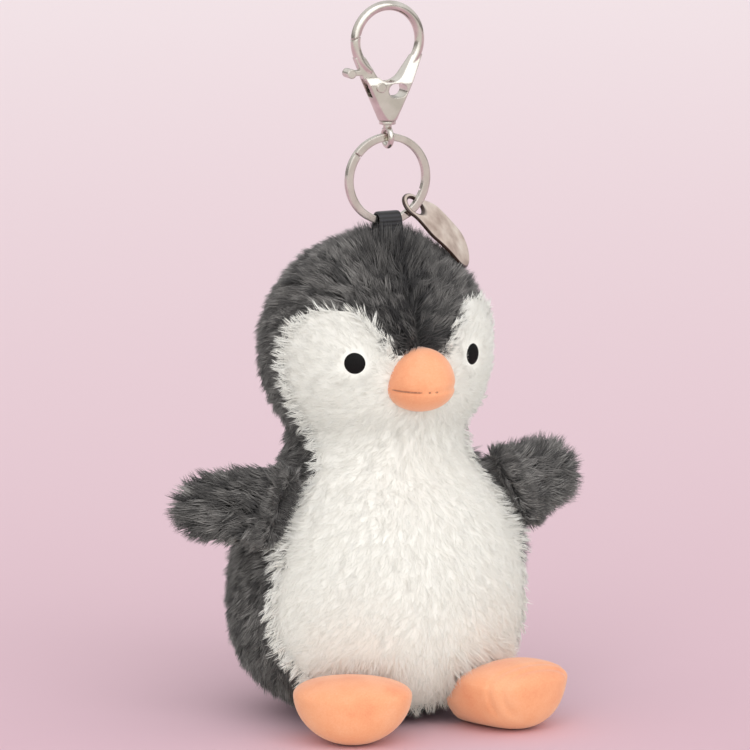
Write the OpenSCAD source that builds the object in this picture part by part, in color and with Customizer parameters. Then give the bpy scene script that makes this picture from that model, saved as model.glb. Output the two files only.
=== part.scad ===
// Plush penguin bag charm: sewn panels over stuffing, hinged flippers and feet, ribbon loop,
// split ring, blank tag and swivel lobster clasp. Millimetres, Z up, the front faces -Y,
// the floor is z = 0 and the origin is the middle of the flat seat.

/* [Body] */
// Width of the body at its widest place
body_w = 83; // [60:0.5:120]
// Depth of the body, front to back
body_d = 75; // [50:0.5:110]
// Height of the widest place above the floor
body_z = 33; // [24:0.5:44]
// Reach of the body form above its widest place
body_up = 48.6; // [40:0.2:56]
// Depth of the flat seat cut from the round underside
seat_cut = 0.5; // [0.2:0.1:2]
// Squareness of the underside
seat_round = 2.5; // [2:0.1:3.5]

/* [Head] */
// Width of the head
head_w = 65; // [45:0.5:95]
// Depth of the head, front to back
head_d = 62; // [45:0.5:95]
// Height of the head's widest place
head_z = 101.5; // [90:0.5:112]
// Reach of the head above its widest place
head_up = 32; // [24:0.5:40]
// Reach of the head below its widest place
head_down = 33; // [26:0.5:40]
// Height of the neck seam
neck_z = 71.5; // [66:0.5:77]

/* [Panels] */
// Thickness of the plush panels, cloth and pile together
skin_t = 4; // [2:0.5:6]
// Half angle of the white belly at its widest
belly_angle = 67; // [45:1:85]
// Half angle of the white front at the neck
neck_angle = 62; // [45:1:80]
// Half angle of the cheeks at their widest
cheek_angle = 76; // [55:1:88]
// Height where the dark forehead ends above the beak
peak_z = 104; // [100:0.5:108]
// Half angle of the dark forehead at its lower end
peak_angle = 14; // [8:1:24]
// Height of the top of the cheek lobes
lobe_z = 116; // [111:0.5:121]
// Inner and outer half angle of the lobes' top
lobe_angle = [33, 47]; // [20:1:60]

/* [Flippers] */
// Reach from the shoulder seam to the tip
flip_len = 23.5; // [18:0.5:40]
// Length of the shoulder seam
flip_root = 25; // [15:0.5:32]
// Width near the tip
flip_tip = 14; // [8:0.2:24]
// Thickness at the shoulder
flip_t = 9; // [6:0.5:14]
// Angle of the shoulder seam round the body, from the front
flip_angle = 70; // [50:1:90]
// Height of the middle of the shoulder seam
flip_z = 59.5; // [50:0.1:62]
// Direction of the flipper, from straight sideways towards the back
flip_sweep = 24; // [0:1:40]
// Drop of the right and the left flipper's middle line along the seam, per unit of reach
flip_droop = [0.34, 0.22]; // [0:0.02:0.6]
// Thickness of the cloth of flippers and feet
limb_skin = 2; // [1:0.1:2.5]

/* [Feet] */
// Width of a foot
foot_w = 33; // [20:0.5:40]
// Height of a foot
foot_h = 19; // [10:0.5:24]
// Height of the seam between upper and sole
foot_seam = 13.5; // [4:0.5:16]
// Place of the middle of a foot, sideways and forward
foot_at = [23, 35]; // [15:0.5:45]
// Reach of the toes past the middle
toe_len = 16; // [12:0.5:26]
// Reach of the heel behind the middle, under the belly
heel_len = 13; // [10:0.5:24]
// Turn of a foot outward
foot_splay = 25; // [0:1:45]

/* [Beak and eyes] */
// Half width of the beak at its root
beak_w = 9.3; // [6:0.1:13]
// Height of the upper beak over the mouth line
beak_up = 10.8; // [6:0.1:14]
// Height of the lower beak under the mouth line
beak_down = 6.8; // [4:0.1:9]
// Height of the mouth line
mouth_z = 95; // [90:0.5:100]
// Reach of the beak in front of the face
beak_out = 9; // [5:0.5:14]
// Thickness of the beak's cloth
beak_skin = 1.5; // [0.8:0.1:2.5]
// Diameter of an eye
eye_d = 6; // [4:0.2:9]
// Angle of the eyes from the front
eye_angle = 34; // [24:1:44]
// Height of the eyes
eye_z = 102; // [96:0.5:108]

/* [Ribbon, ring and tag] */
// Distance of the ribbon loop in front of the body's middle
charm_y = 8; // [0:0.5:12]
// Height of the ring's wire in the ribbon loop
loop_z = 137.5; // [135:0.5:142]
// Width of the ribbon
ribbon_w = 7; // [4:0.5:12]
// Thickness of the ribbon
ribbon_t = 0.8; // [0.4:0.1:1.4]
// Outer diameter of the split ring
ring_od = 25; // [20:0.5:35]
// Wire of the split ring, along the radius and across both turns
ring_wire = [2, 1.7]; // [1:0.1:3]
// Tag length, width and thickness
tag_size = [28, 13, 1.1]; // [0.6:0.1:40]
// Radius of the tag's bend over the head
tag_bend = 60; // [30:1:120]

/* [Clasp] */
// Height of the clasp's hook body
clasp_h = 32.7; // [26:0.1:42]
// Inner radius of the hook
hook_r = 8.2; // [6:0.1:12]
// Radius of the hook's bar
bar_r = 1.35; // [0.9:0.05:2]
// Thickness of the clasp's body
clasp_t = 5.2; // [4:0.1:7]
// Radius of the body's foot
clasp_foot_r = 2.6; // [2.4:0.1:4]
// Thickness of the gate
gate_t = 3; // [2:0.1:3.4]
// Radius of the rivet
rivet_r = 0.8; // [0.5:0.05:1.2]
// Radius of the swivel shank
shank_r = 1.2; // [0.8:0.05:1.6]
// Radial play of the turning fits
play = 0.05; // [0.02:0.01:0.1]

/* [Hidden] */
$fn = 48;
dark = [0.24, 0.23, 0.23];
white = [0.95, 0.94, 0.92];
orange = [0.98, 0.6, 0.38];
steel = [0.78, 0.78, 0.76];
fill_gap = 0.8;
soft_gap = 0.4;

// Small helpers
function mix(a, b, t) = a + (b - a) * t;
function ease(t) = let (u = min(1, max(0, t))) u * u * (3 - 2 * u);
function unit(v) = v / norm(v);
function flat(rows) = [for (row = rows) each row];
function lobe(d, reach, r, p) = d >= reach ? 0 : r * pow(1 - pow(d / reach, p), 1 / p);

// The body and head are two swelling forms joined by a soft neck
function body_r(z) = z < body_z
  ? lobe(body_z - z, body_z + seat_cut, body_w / 2, seat_round)
  : lobe(z - body_z, body_up, body_w / 2, 2);
function head_r(z) = z < head_z
  ? lobe(head_z - z, head_down, head_w / 2, 2)
  : lobe(z - head_z, head_up, head_w / 2, 2);
function torso_r(z) = pow(pow(body_r(z), 3) + pow(head_r(z), 3), 1 / 3);
function depth_of(z) = mix(body_d / body_w, head_d / head_w, ease((z - 60) / 25));
function front_y(x, z, gap) = let (r = torso_r(z) + gap) -depth_of(z) * sqrt(max(0, r * r - x * x));

// Rows of the torso, from the middle of the seat to the crown
low_n = 6;
high_n = 6;
cheek_n = 5;
peak_n = 2;
crown_n = 4;
top_z = head_z + head_up;
lobe_turn = asin((lobe_z - head_z) / head_up);
row_z = concat(
  [0, 0],
  [for (i = [1 : low_n]) body_z * (1 - cos(90 * i / low_n))],
  [for (i = [1 : high_n]) mix(body_z, neck_z, sin(90 * i / high_n))],
  [for (i = [1 : cheek_n]) mix(neck_z, peak_z, 1 - cos(90 * i / cheek_n))],
  [for (i = [1 : peak_n]) mix(peak_z, lobe_z, i / peak_n)],
  [for (i = [1 : crown_n]) head_z + head_up * sin(mix(lobe_turn, 90, i / crown_n))]
);
row_last = len(row_z) - 1;
belly_row = 3;
neck_row = 1 + low_n + high_n;
peak_row = neck_row + cheek_n;
lobe_row = peak_row + peak_n;
belly_tip = row_z[belly_row];
outline = [for (i = [0 : row_last]) [i == 0 || i == row_last ? 0 : torso_r(row_z[i]), row_z[i]]];
function row_normal(i) = i == 0 ? [0, -1] : i == row_last ? [0, 1]
  : let (d = unit(outline[i + 1] - outline[i - 1])) [d[1], -d[0]];
function row_at(i, inset) = let (p = outline[i] - inset * row_normal(i)) [max(0, p[0]), p[1]];

// Seams: half angle of the white front and of the dark forehead at a height
function front_angle(z) = z <= belly_tip ? 0
  : z < body_z ? belly_angle * sqrt(1 - pow((body_z - z) / (body_z - belly_tip), 2))
  : z < neck_z ? mix(belly_angle, neck_angle, (z - body_z) / (neck_z - body_z))
  : z < eye_z ? mix(neck_angle, cheek_angle, sin(90 * (z - neck_z) / (eye_z - neck_z)))
  : z < lobe_z ? mix(lobe_angle[1], cheek_angle, sqrt(1 - pow((z - eye_z) / (lobe_z - eye_z), 2)))
  : lobe_angle[1];
function peak_at(z) = z < neck_z ? peak_angle * front_angle(z) / neck_angle
  : z < peak_z ? peak_angle
  : z < lobe_z ? mix(peak_angle, lobe_angle[0], pow((z - peak_z) / (lobe_z - peak_z), 1.4))
  : lobe_angle[0];

// Columns of the torso, counted from the middle of the front to the middle of the back
mid_n = 2;
side_n = 5;
back_n = 9;
seam_col = mid_n + side_n;
half_n = seam_col + back_n;
function col_angle(m, z) = m <= mid_n ? peak_at(z) * m / mid_n
  : m <= seam_col ? mix(peak_at(z), front_angle(z), (m - mid_n) / side_n)
  : mix(front_angle(z), 180, (m - seam_col) / back_n);
function torso_point(i, j, inset) = let (
    m = j - half_n,
    z = row_z[i],
    p = row_at(i, inset),
    a = sign(m) * col_angle(abs(m), z)
  ) [p[0] * sin(a), -p[0] * cos(a) * depth_of(z), p[1]];
function torso_grid(inset) = [for (i = [0 : row_last]) [for (j = [0 : 2 * half_n]) torso_point(i, j, inset)]];
torso_out = torso_grid(0);
torso_in = torso_grid(skin_t);

// A sewn panel is the stretch of cells marked in the mask, closed between its two faces
function quad(a, b, c, d) = [[a, b, c], [a, c, d]];
function whole(f, p) = norm(p[f[0]] - p[f[1]]) > 1e-6 && norm(p[f[1]] - p[f[2]]) > 1e-6
  && norm(p[f[2]] - p[f[0]]) > 1e-6;
function marked(mask, i, j) = i >= 0 && j >= 0 && i < len(mask) && j < len(mask[i]) && mask[i][j];
function panel_faces(mask, n, k, fold) = [
  for (i = [0 : len(mask) - 1], j = [0 : len(mask[0]) - 1]) if (mask[i][j]) let (
      a = i * n + j,
      b = a + 1,
      c = a + n + 1,
      d = a + n
    ) each concat(
      marked(fold, i, j) ? quad(b, a, d, c) : quad(a, d, c, b),
      marked(fold, i, j) ? quad(k + b, k + c, k + d, k + a) : quad(k + a, k + b, k + c, k + d),
      marked(mask, i - 1, j) ? [] : quad(a, b, k + b, k + a),
      marked(mask, i + 1, j) ? [] : quad(d, k + d, k + c, c),
      marked(mask, i, j - 1) ? [] : quad(a, k + a, k + d, d),
      marked(mask, i, j + 1) ? [] : quad(b, c, k + c, k + b)
    )
];
module panel(outer, inner, mask, turned = false, fold = []) {
  points = concat(flat(outer), flat(inner));
  faces = panel_faces(mask, len(outer[0]), len(outer) * len(outer[0]), fold);
  kept = [for (f = faces) if (whole(f, points)) turned ? [f[2], f[1], f[0]] : f];
  polyhedron(points = points, faces = kept);
}
torso_fold = [
  for (i = [0 : row_last - 1]) [for (j = [0 : 2 * half_n - 1]) i < neck_row ? j >= half_n : j < half_n]
];
module torso_panel(mask) {
  panel(torso_out, torso_in, mask, false, torso_fold);
}
function torso_mask(which) = [
  for (i = [0 : row_last - 1]) [for (j = [0 : 2 * half_n - 1]) let (
      side = j < half_n ? -1 : 1,
      m = side < 0 ? half_n - 1 - j : j - half_n
    )
    which == "belly" ? i >= belly_row && i < neck_row && m < seam_col
    : which == "face" ? i >= neck_row && i < lobe_row && m < seam_col && (i < peak_row || m >= mid_n)
    : abs(which) == 1 ? side == which && i < neck_row && m >= seam_col
    : side == which / 2 && i >= neck_row && (i >= lobe_row || m >= seam_col || (i >= peak_row && m < mid_n))
  ]
];

// A stuffing is a closed body through rings of points
function ring_faces(rows, n) = [
  for (i = [0 : rows - 2], j = [0 : n - 1]) let (
      a = i * n + j,
      b = i * n + (j + 1) % n
    ) each quad(a, a + n, b + n, b)
];
module filling(rings, first, last, turned = false) {
  n = len(rings[0]);
  k = len(rings) * n;
  points = concat(flat(rings), [first, last]);
  faces = concat(
    ring_faces(len(rings), n),
    [for (j = [0 : n - 1]) [j, (j + 1) % n, k]],
    [for (j = [0 : n - 1]) [k - n + (j + 1) % n, k - n + j, k + 1]]
  );
  kept = [for (f = faces) if (whole(f, points)) turned ? [f[2], f[1], f[0]] : f];
  polyhedron(points = points, faces = kept);
}

module right_crown_panel() {
  color(dark) torso_panel(torso_mask(-2));
}
module left_crown_panel() {
  color(dark) torso_panel(torso_mask(2));
}
module face_panel() {
  color(white) torso_panel(torso_mask("face"));
}
module right_back_panel() {
  color(dark) torso_panel(torso_mask(-1));
}
module left_back_panel() {
  color(dark) torso_panel(torso_mask(1));
}
module belly_panel() {
  color(white) torso_panel(torso_mask("belly"));
}
module body_stuffing() {
  inset = skin_t + fill_gap;
  n = 20;
  rings = [for (i = [1 : row_last - 1]) let (p = row_at(i, inset), q = depth_of(row_z[i]))
    [for (j = [0 : n - 1]) [p[0] * sin(360 * j / n), -p[0] * cos(360 * j / n) * q, p[1]]]];
  color(white) filling(rings, [0, 0, inset], [0, 0, top_z - inset]);
}

// Flippers: a paddle whose round root turns about the shoulder seam
flip_r = torso_r(flip_z);
flip_slope = torso_r(flip_z + 0.5) - torso_r(flip_z - 0.5);
flip_q = depth_of(flip_z);
flip_seam = unit([flip_slope * sin(flip_angle), -flip_q * flip_slope * cos(flip_angle), 1]);
flip_out = unit([flip_q * sin(flip_angle), -cos(flip_angle), -flip_q * flip_slope]);
flip_at = [flip_r * sin(flip_angle), -flip_q * flip_r * cos(flip_angle), flip_z]
  + (flip_t / 2 + soft_gap) * flip_out;
flip_aim = [cos(flip_sweep), sin(flip_sweep), 0];
flip_span = unit(flip_aim - (flip_aim * flip_seam) * flip_seam);
flip_face = cross(flip_seam, flip_span);
flip_rows = [-1, -0.7, 0, 0.2, 0.4, 0.6, 0.78, 0.9, 0.97, 1];
function flip_end(t) = t < 0.5 ? 1 : sqrt(max(0, 1 - pow((t - 0.5) / 0.5, 2.4)));
function flip_thick(t) = t < 0 ? flip_t / 2 * sqrt(1 - t * t) : mix(flip_t / 2, flip_t * 0.36, t) * flip_end(t);
function flip_half(t) = t < 0 ? flip_root / 2 * (1 + 0.08 * t) : mix(flip_root, flip_tip, t) / 2 * flip_end(t);
function flip_point(t, a, inset, side) = let (
    grow_t = (flip_t / 2 - inset) / (flip_t / 2),
    grow_w = (flip_root / 2 - inset) / (flip_root / 2),
    s = t < 0 ? t * (flip_t / 2 - inset) : t * (flip_len - inset),
    c = flip_half(t) * grow_w * sin(a) - flip_droop[side < 0 ? 0 : 1] * max(0, s),
    y = flip_thick(t) * grow_t * cos(a),
    p = flip_at + s * flip_span + c * flip_seam + y * flip_face
  ) [side * p[0], p[1], p[2]];
flip_cols = 6;
function flip_grid(inset, from, side) = [
  for (t = flip_rows) [for (j = [0 : flip_cols]) flip_point(t, from + 180 * j / flip_cols, inset, side)]
];
flip_mask = [for (i = [1 : len(flip_rows) - 1]) [for (j = [1 : flip_cols]) true]];
module flipper_panel(from, side) {
  color(dark) panel(flip_grid(0, from, side), flip_grid(limb_skin, from, side), flip_mask, side > 0);
}
module flipper_fill(side) {
  inset = limb_skin + 0.4;
  rings = [for (i = [1 : len(flip_rows) - 2])
    [for (j = [0 : 11]) flip_point(flip_rows[i], 30 * j, inset, side)]];
  root = (rings[0][0] + rings[0][6]) / 2;
  color(white) filling(rings, root, flip_point(1, 0, inset, side), side < 0);
}
module right_flipper_front() {
  flipper_panel(90, -1);
}
module right_flipper_back() {
  flipper_panel(-90, -1);
}
module right_flipper_stuffing() {
  flipper_fill(-1);
}
module left_flipper_front() {
  flipper_panel(90, 1);
}
module left_flipper_back() {
  flipper_panel(-90, 1);
}
module left_flipper_stuffing() {
  flipper_fill(1);
}

// Feet: a form that grows out of the lower front of the body, flat underneath
foot_dir = [sin(foot_splay), -cos(foot_splay), 0];
foot_side = [cos(foot_splay), sin(foot_splay), 0];
foot_mid = [foot_at[0], -foot_at[1], 0];
foot_cut = 0.5;
function in_body(p, gap) = let (r = torso_r(p[2]) + gap, q = depth_of(p[2]))
  pow(p[0] / r, 2) + pow(p[1] / (q * r), 2) < 1;
function foot_world(w, s, h) = foot_mid + w * foot_side + s * foot_dir + [0, 0, h];
function foot_root(w, h, lo, hi, n) = n == 0 ? max(hi, -heel_len)
  : let (s = (lo + hi) / 2) in_body(foot_world(w, s, h), soft_gap)
  ? foot_root(w, h, s, hi, n - 1) : foot_root(w, h, lo, s, n - 1);
function foot_wide(u) = u < 0.45 ? 1 - 0.3 * pow(1 - u / 0.45, 2)
  : pow(max(0, 1 - pow((u - 0.45) / 0.55, 2.4)), 1 / 2.4);
function foot_high(u) = u < 0.4 ? 1 - 0.3 * pow(1 - u / 0.4, 2)
  : pow(max(0, 1 - pow((u - 0.4) / 0.6, 2.2)), 1 / 2.2);
function foot_low(u) = u < 0.5 ? 1 : pow(max(0, 1 - pow((u - 0.5) / 0.5, 2.6)), 1 / 2.6);
function foot_part(u, a, inset) = let (
    w = (foot_w / 2 - inset) * foot_wide(u) * cos(a),
    up = (foot_h - foot_seam - inset) * foot_high(u) * sin(a),
    down = (foot_seam - inset + foot_cut) * foot_low(u) * sin(a)
  ) [w, sin(a) >= 0 ? foot_seam + up : max(inset, foot_seam + down)];
function foot_point(u, a, inset, side) = let (
    base = foot_part(0, a, inset),
    part = foot_part(u, a, inset),
    s0 = foot_root(base[0], base[1], -45, 25, 16),
    p = foot_world(part[0], mix(s0, toe_len - inset, u), part[1])
  ) [side * p[0], p[1], p[2]];
foot_rows = [0, 0.1, 0.22, 0.38, 0.55, 0.7, 0.82, 0.91, 0.97, 1];
foot_cols = 8;
foot_mask = [for (i = [1 : len(foot_rows) - 1]) [for (j = [1 : foot_cols]) true]];
function foot_grid(inset, from, side) = [
  for (u = foot_rows) [for (j = [0 : foot_cols]) foot_point(u, from + 180 * j / foot_cols, inset, side)]
];
module foot_panel(from, side) {
  color(orange) panel(foot_grid(0, from, side), foot_grid(limb_skin, from, side), foot_mask, side < 0);
}
module foot_fill(side) {
  inset = limb_skin + 0.5;
  rings = [for (i = [0 : len(foot_rows) - 2])
    [for (j = [0 : 11]) foot_point(foot_rows[i], 30 * j, inset, side)]];
  root = (rings[0][0] + rings[0][3] + rings[0][6] + rings[0][9]) / 4 + 2 * [side * foot_dir[0], foot_dir[1], 0];
  color(white) filling(rings, root, foot_point(1, 0, inset, side), side < 0);
}
foot_hinge = foot_point(0, 90, 0, 1);
module right_foot_upper() {
  foot_panel(0, -1);
}
module right_foot_sole() {
  foot_panel(180, -1);
}
module right_foot_stuffing() {
  foot_fill(-1);
}
module left_foot_upper() {
  foot_panel(0, 1);
}
module left_foot_sole() {
  foot_panel(180, 1);
}
module left_foot_stuffing() {
  foot_fill(1);
}

// Beak: a blunt dome on the face, upper and lower piece meeting at the mouth line
beak_gap = 0.3;
function beak_point(u, a, inset) = let (
    x = (beak_w - inset) * cos(a) * cos(90 * u),
    tall = sin(a) >= 0 ? beak_up : beak_down,
    z = mouth_z + (tall - inset) * sin(a) * cos(90 * u),
    lift = (beak_out - inset) * sin(90 * u) * (1 - 0.12 * max(0, sin(a)) * cos(90 * u))
  ) [x, front_y(x, z, beak_gap) - lift, z];
beak_rows = [0, 0.2, 0.4, 0.6, 0.8, 1];
beak_cols = 8;
beak_mask = [for (i = [1 : len(beak_rows) - 1]) [for (j = [1 : beak_cols]) true]];
function beak_grid(inset, from) = [
  for (u = beak_rows) [for (j = [0 : beak_cols]) beak_point(u, from + 180 * j / beak_cols, inset)]
];
module beak_upper() {
  color(orange) panel(beak_grid(0, 0), beak_grid(beak_skin, 0), beak_mask);
}
module beak_lower() {
  color(orange) panel(beak_grid(0, 180), beak_grid(beak_skin, 180), beak_mask);
}
module beak_stuffing() {
  inset = beak_skin + 0.4;
  rings = [for (i = [0 : len(beak_rows) - 2])
    [for (j = [0 : 11]) beak_point(beak_rows[i], 30 * j, inset)]];
  color(white) filling(rings, [0, front_y(0, mouth_z, beak_gap), mouth_z], beak_point(1, 0, inset));
}

// Mouth: one thick thread laid along the seam of the beak
thread_r = 0.4;
mouth_path = [for (a = [8 : 12 : 172]) let (x = beak_w * cos(a))
  [x, front_y(x, mouth_z, beak_gap) - beak_out * sin(a), mouth_z]];
module mouth_stitch() {
  last = len(mouth_path) - 1;
  rings = [for (i = [0 : last]) let (
      t = unit(mouth_path[min(last, i + 1)] - mouth_path[max(0, i - 1)]),
      n = cross([0, 0, 1], t)
    ) [for (j = [0 : 5]) mouth_path[i] + thread_r * (cos(60 * j) * n + sin(60 * j) * [0, 0, 1])]];
  color("black") filling(rings, mouth_path[0], mouth_path[last], true);
}

// Eyes: a domed patch of satin stitch, set into the pile
eye_sink = 0.3;
module eye(side) {
  r = torso_r(eye_z) - eye_sink;
  place = [side * r * sin(eye_angle), -depth_of(eye_z) * r * cos(eye_angle), eye_z];
  color("black") translate(place) rotate([90, 0, side * eye_angle]) rotate_extrude()
    intersection() {
      translate([0, 0.9 - eye_d]) circle(r = eye_d);
      translate([0, -1.6]) square([eye_d / 2, 3]);
    }
}
module right_eye() {
  eye(-1);
}
module left_eye() {
  eye(1);
}

// Ribbon: folded over the ring's wire, both ends sewn into the crown
ribbon_bore = 1.9;
ribbon_foot = 130;
module ribbon_loop() {
  color([0.08, 0.08, 0.09]) translate([-ribbon_w / 2, -charm_y, loop_z]) rotate([90, 0, 90])
    linear_extrude(height = ribbon_w) difference() {
      union() {
        circle(r = ribbon_bore + ribbon_t);
        translate([-ribbon_bore - ribbon_t, ribbon_foot - loop_z])
          square([2 * (ribbon_bore + ribbon_t), loop_z - ribbon_foot]);
      }
      circle(r = ribbon_bore);
      translate([-ribbon_bore, ribbon_foot - loop_z - 1])
        square([2 * ribbon_bore, loop_z - ribbon_foot + 1]);
    }
}

// Split ring: two flat turns side by side, a groove between them and two open ends
ring_mid = (ring_od - ring_wire[0]) / 2;
ring_z = loop_z + ring_mid;
groove = 0.15;
module split_ring() {
  a = ring_wire[0] / 2;
  b = ring_wire[1] / 2;
  color(steel) translate([0, -charm_y, ring_z]) rotate([90, 0, 0]) difference() {
    rotate_extrude() translate([ring_mid, 0])
      polygon([[-a, -b], [a, -b], [a, -groove], [a - groove, 0], [a, groove], [a, b],
        [-a, b], [-a, groove], [groove - a, 0], [-a, -groove]]);
    rotate([0, 0, 142]) translate([ring_mid - 2, -0.2, 0]) cube([4, 0.4, 2]);
    rotate([0, 0, -20]) translate([ring_mid - 2, -0.2, -2]) cube([4, 0.4, 2]);
  }
}

// Tag: a thin bent blank on the ring, lying over the head
tag_turn = 45;
tag_hole = 2.6;
tag_pin = [ring_mid * cos(tag_turn), -charm_y, ring_z - ring_mid * sin(tag_turn)];
tag_end = [31.6, -9.65, 124.4];
tag_aim = unit(tag_end - tag_pin);
tag_lean = [0.422, -0.66, 0.622];
tag_up = unit(tag_lean - (tag_lean * tag_aim) * tag_aim);
tag_cross = cross(tag_up, tag_aim);
tag_ear = 4.2;
module ring_tag() {
  l = tag_size[0];
  w = tag_size[1];
  t = tag_size[2];
  color([0.6, 0.52, 0.47]) multmatrix([
    [tag_aim[0], tag_cross[0], tag_up[0], tag_pin[0]],
    [tag_aim[1], tag_cross[1], tag_up[1], tag_pin[1]],
    [tag_aim[2], tag_cross[2], tag_up[2], tag_pin[2]]
  ]) difference() {
    intersection() {
      translate([0, w, -tag_bend]) rotate([90, 0, 0]) difference() {
        cylinder(r = tag_bend + t / 2, h = 2 * w, $fn = 96);
        translate([0, 0, -1]) cylinder(r = tag_bend - t / 2, h = 2 * w + 2, $fn = 96);
      }
      translate([0, 0, -15]) linear_extrude(height = 25) union() {
        circle(r = tag_ear);
        polygon([[0, -tag_ear], [9, -w / 2], [9, w / 2], [0, tag_ear]]);
        translate([9, -w / 2]) square([l - tag_ear - 9 - w / 2, w]);
        translate([l - tag_ear - w / 2, 0]) circle(r = w / 2);
      }
    }
    translate([0, 0, -3]) cylinder(r = tag_hole, h = 6);
  }
}

// Swivel eye: a small eye on the ring, its shank turning in the foot of the clasp
eye_mid = ring_z + ring_mid;
eye_bar = 0.8;
eye_turn = 2.4;
clasp_z = eye_mid + 4.7;
shank_top = clasp_z + 3.8;
module swivel_eye() {
  color(steel) translate([0, -charm_y, 0]) union() {
    translate([0, 0, eye_mid]) rotate([0, 90, 0]) rotate_extrude() translate([eye_turn, 0]) circle(r = eye_bar);
    translate([0, 0, eye_mid + eye_turn]) cylinder(r = shank_r, h = shank_top - eye_mid - eye_turn);
    translate([0, 0, clasp_z - 1.1]) cylinder(r = 2.3, h = 0.9);
    translate([0, 0, shank_top - 1.3]) cylinder(r = 1.9, h = 1.3);
  }
}

// Clasp: a flattened funnel that carries the hook, slotted for the gate. Its flanks run
// into the hook's outer circle as tangents.
hook_mid = hook_r + bar_r;
hook_z = clasp_z + clasp_h - hook_r - 2 * bar_r;
hook_out = hook_r + 2 * bar_r;
flank = atan(clasp_foot_r / (hook_z - clasp_z)) + acos(hook_out / norm([clasp_foot_r, hook_z - clasp_z]));
funnel_h = hook_z - clasp_z - hook_out * cos(flank);
funnel_r = hook_out * sin(flank);
neck_r = 4.6;
neck_mid = hook_z - 6.7;
lean_s = (hook_r - neck_r) / (hook_z - neck_mid);
lean_c = sqrt(1 - lean_s * lean_s);
gate_at = [-3, clasp_z + 9.3];
hub_r = 2.3;
nose_r = 15.25;
slot_t = gate_t + 0.3;
arm_t = 1.3 * bar_r;
module hook_opening() {
  union() {
    translate([0, hook_z]) circle(r = hook_r);
    translate([0, neck_mid]) circle(r = neck_r);
    polygon([
      [hook_r * lean_c, hook_z - hook_r * lean_s],
      [neck_r * lean_c, neck_mid - neck_r * lean_s],
      [-neck_r * lean_c, neck_mid - neck_r * lean_s],
      [-hook_r * lean_c, hook_z - hook_r * lean_s]
    ]);
  }
}
module across(t) {
  translate([0, t / 2, 0]) rotate([90, 0, 0]) linear_extrude(height = t) children();
}
module clasp_body() {
  color(steel) translate([0, -charm_y, 0]) difference() {
    union() {
      translate([0, 0, hook_z]) rotate([90, 0, 0]) rotate([0, 0, -56]) rotate_extrude(angle = 240)
        translate([hook_mid, 0]) circle(r = bar_r);
      intersection() {
        translate([0, 0, clasp_z]) cylinder(r1 = clasp_foot_r, r2 = funnel_r, h = funnel_h);
        translate([-20, 0, 0]) rotate([90, 0, 90]) linear_extrude(height = 40) polygon([
          [-clasp_t / 2, clasp_z - 1], [clasp_t / 2, clasp_z - 1], [clasp_t / 2, clasp_z + 10],
          [arm_t / 2, clasp_z + funnel_h], [-arm_t / 2, clasp_z + funnel_h], [-clasp_t / 2, clasp_z + 10]
        ]);
      }
    }
    across(10) hook_opening();
    translate([-20, -5, clasp_z + 12]) cube([20, 10, funnel_h - 11.9]);
    translate([-20, -slot_t / 2, clasp_z + 6.6]) cube([21.6, slot_t, 8]);
    across(10) intersection() {
      translate(gate_at) circle(r = nose_r + 0.15);
      translate([-20, hook_z - 4]) square([14, 8]);
    }
    translate([gate_at[0], 0, gate_at[1]]) rotate([90, 0, 0]) cylinder(r = rivet_r, h = 10, center = true);
    across(10) union() {
      translate([1.2, clasp_z + 8.2]) circle(r = 1.9);
      translate([2.9, clasp_z + 8.2]) circle(r = 1.9);
      translate([1.2, clasp_z + 6.3]) square([1.7, 3.8]);
    }
    translate([0, 0, clasp_z - 1]) cylinder(r = shank_r + play, h = 4);
    translate([0, 0, shank_top - 1.45]) cylinder(r = 2.1, h = 1.65);
  }
}

// Gate: closes the hook on one side and swings inward about its rivet
module clasp_gate() {
  color(steel) translate([0, -charm_y, 0]) difference() {
    union() {
      intersection() {
        translate([0, 0, hook_z]) rotate([90, 0, 0]) rotate([0, 0, 170]) rotate_extrude(angle = 68)
          translate([hook_mid, 0]) circle(r = bar_r);
        across(10) translate(gate_at) circle(r = nose_r - 0.15);
      }
      across(1.5 * bar_r) intersection() {
        polygon([
          [-clasp_foot_r, clasp_z], [clasp_foot_r, clasp_z],
          [funnel_r, clasp_z + funnel_h], [-funnel_r, clasp_z + funnel_h]
        ]);
        translate([-20, clasp_z + 11.6]) square([18, funnel_h - 11.6]);
      }
      across(gate_t) union() {
        translate(gate_at) circle(r = hub_r);
        polygon([
          gate_at + [-hub_r, 0], gate_at + [hub_r, 0],
          [-3.6, clasp_z + 11.8], [-7.4, clasp_z + 11.8]
        ]);
      }
      translate([-11.4, 0, clasp_z + 13.4]) rotate([90, 0, 0]) cylinder(r = 1.3, h = 3.6, center = true);
      translate([-11.4, -1, clasp_z + 12.7]) cube([4.4, 2, 1.4]);
    }
    across(10) hook_opening();
    translate([gate_at[0], 0, gate_at[1]]) rotate([90, 0, 0]) cylinder(r = rivet_r + play, h = 10, center = true);
    translate([gate_at[0], 3, gate_at[1]]) rotate([90, 0, 0]) cylinder(r = hub_r + 0.3, h = 3.1);
  }
}
module gate_rivet() {
  color(steel) translate([gate_at[0], -charm_y, gate_at[1]]) rotate([90, 0, 0]) union() {
    cylinder(r = rivet_r, h = clasp_t, center = true);
    translate([0, 0, clasp_t / 2]) cylinder(r = 1.4, h = 0.4);
    translate([0, 0, -clasp_t / 2 - 0.4]) cylinder(r = 1.4, h = 0.4);
  }
}

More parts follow.
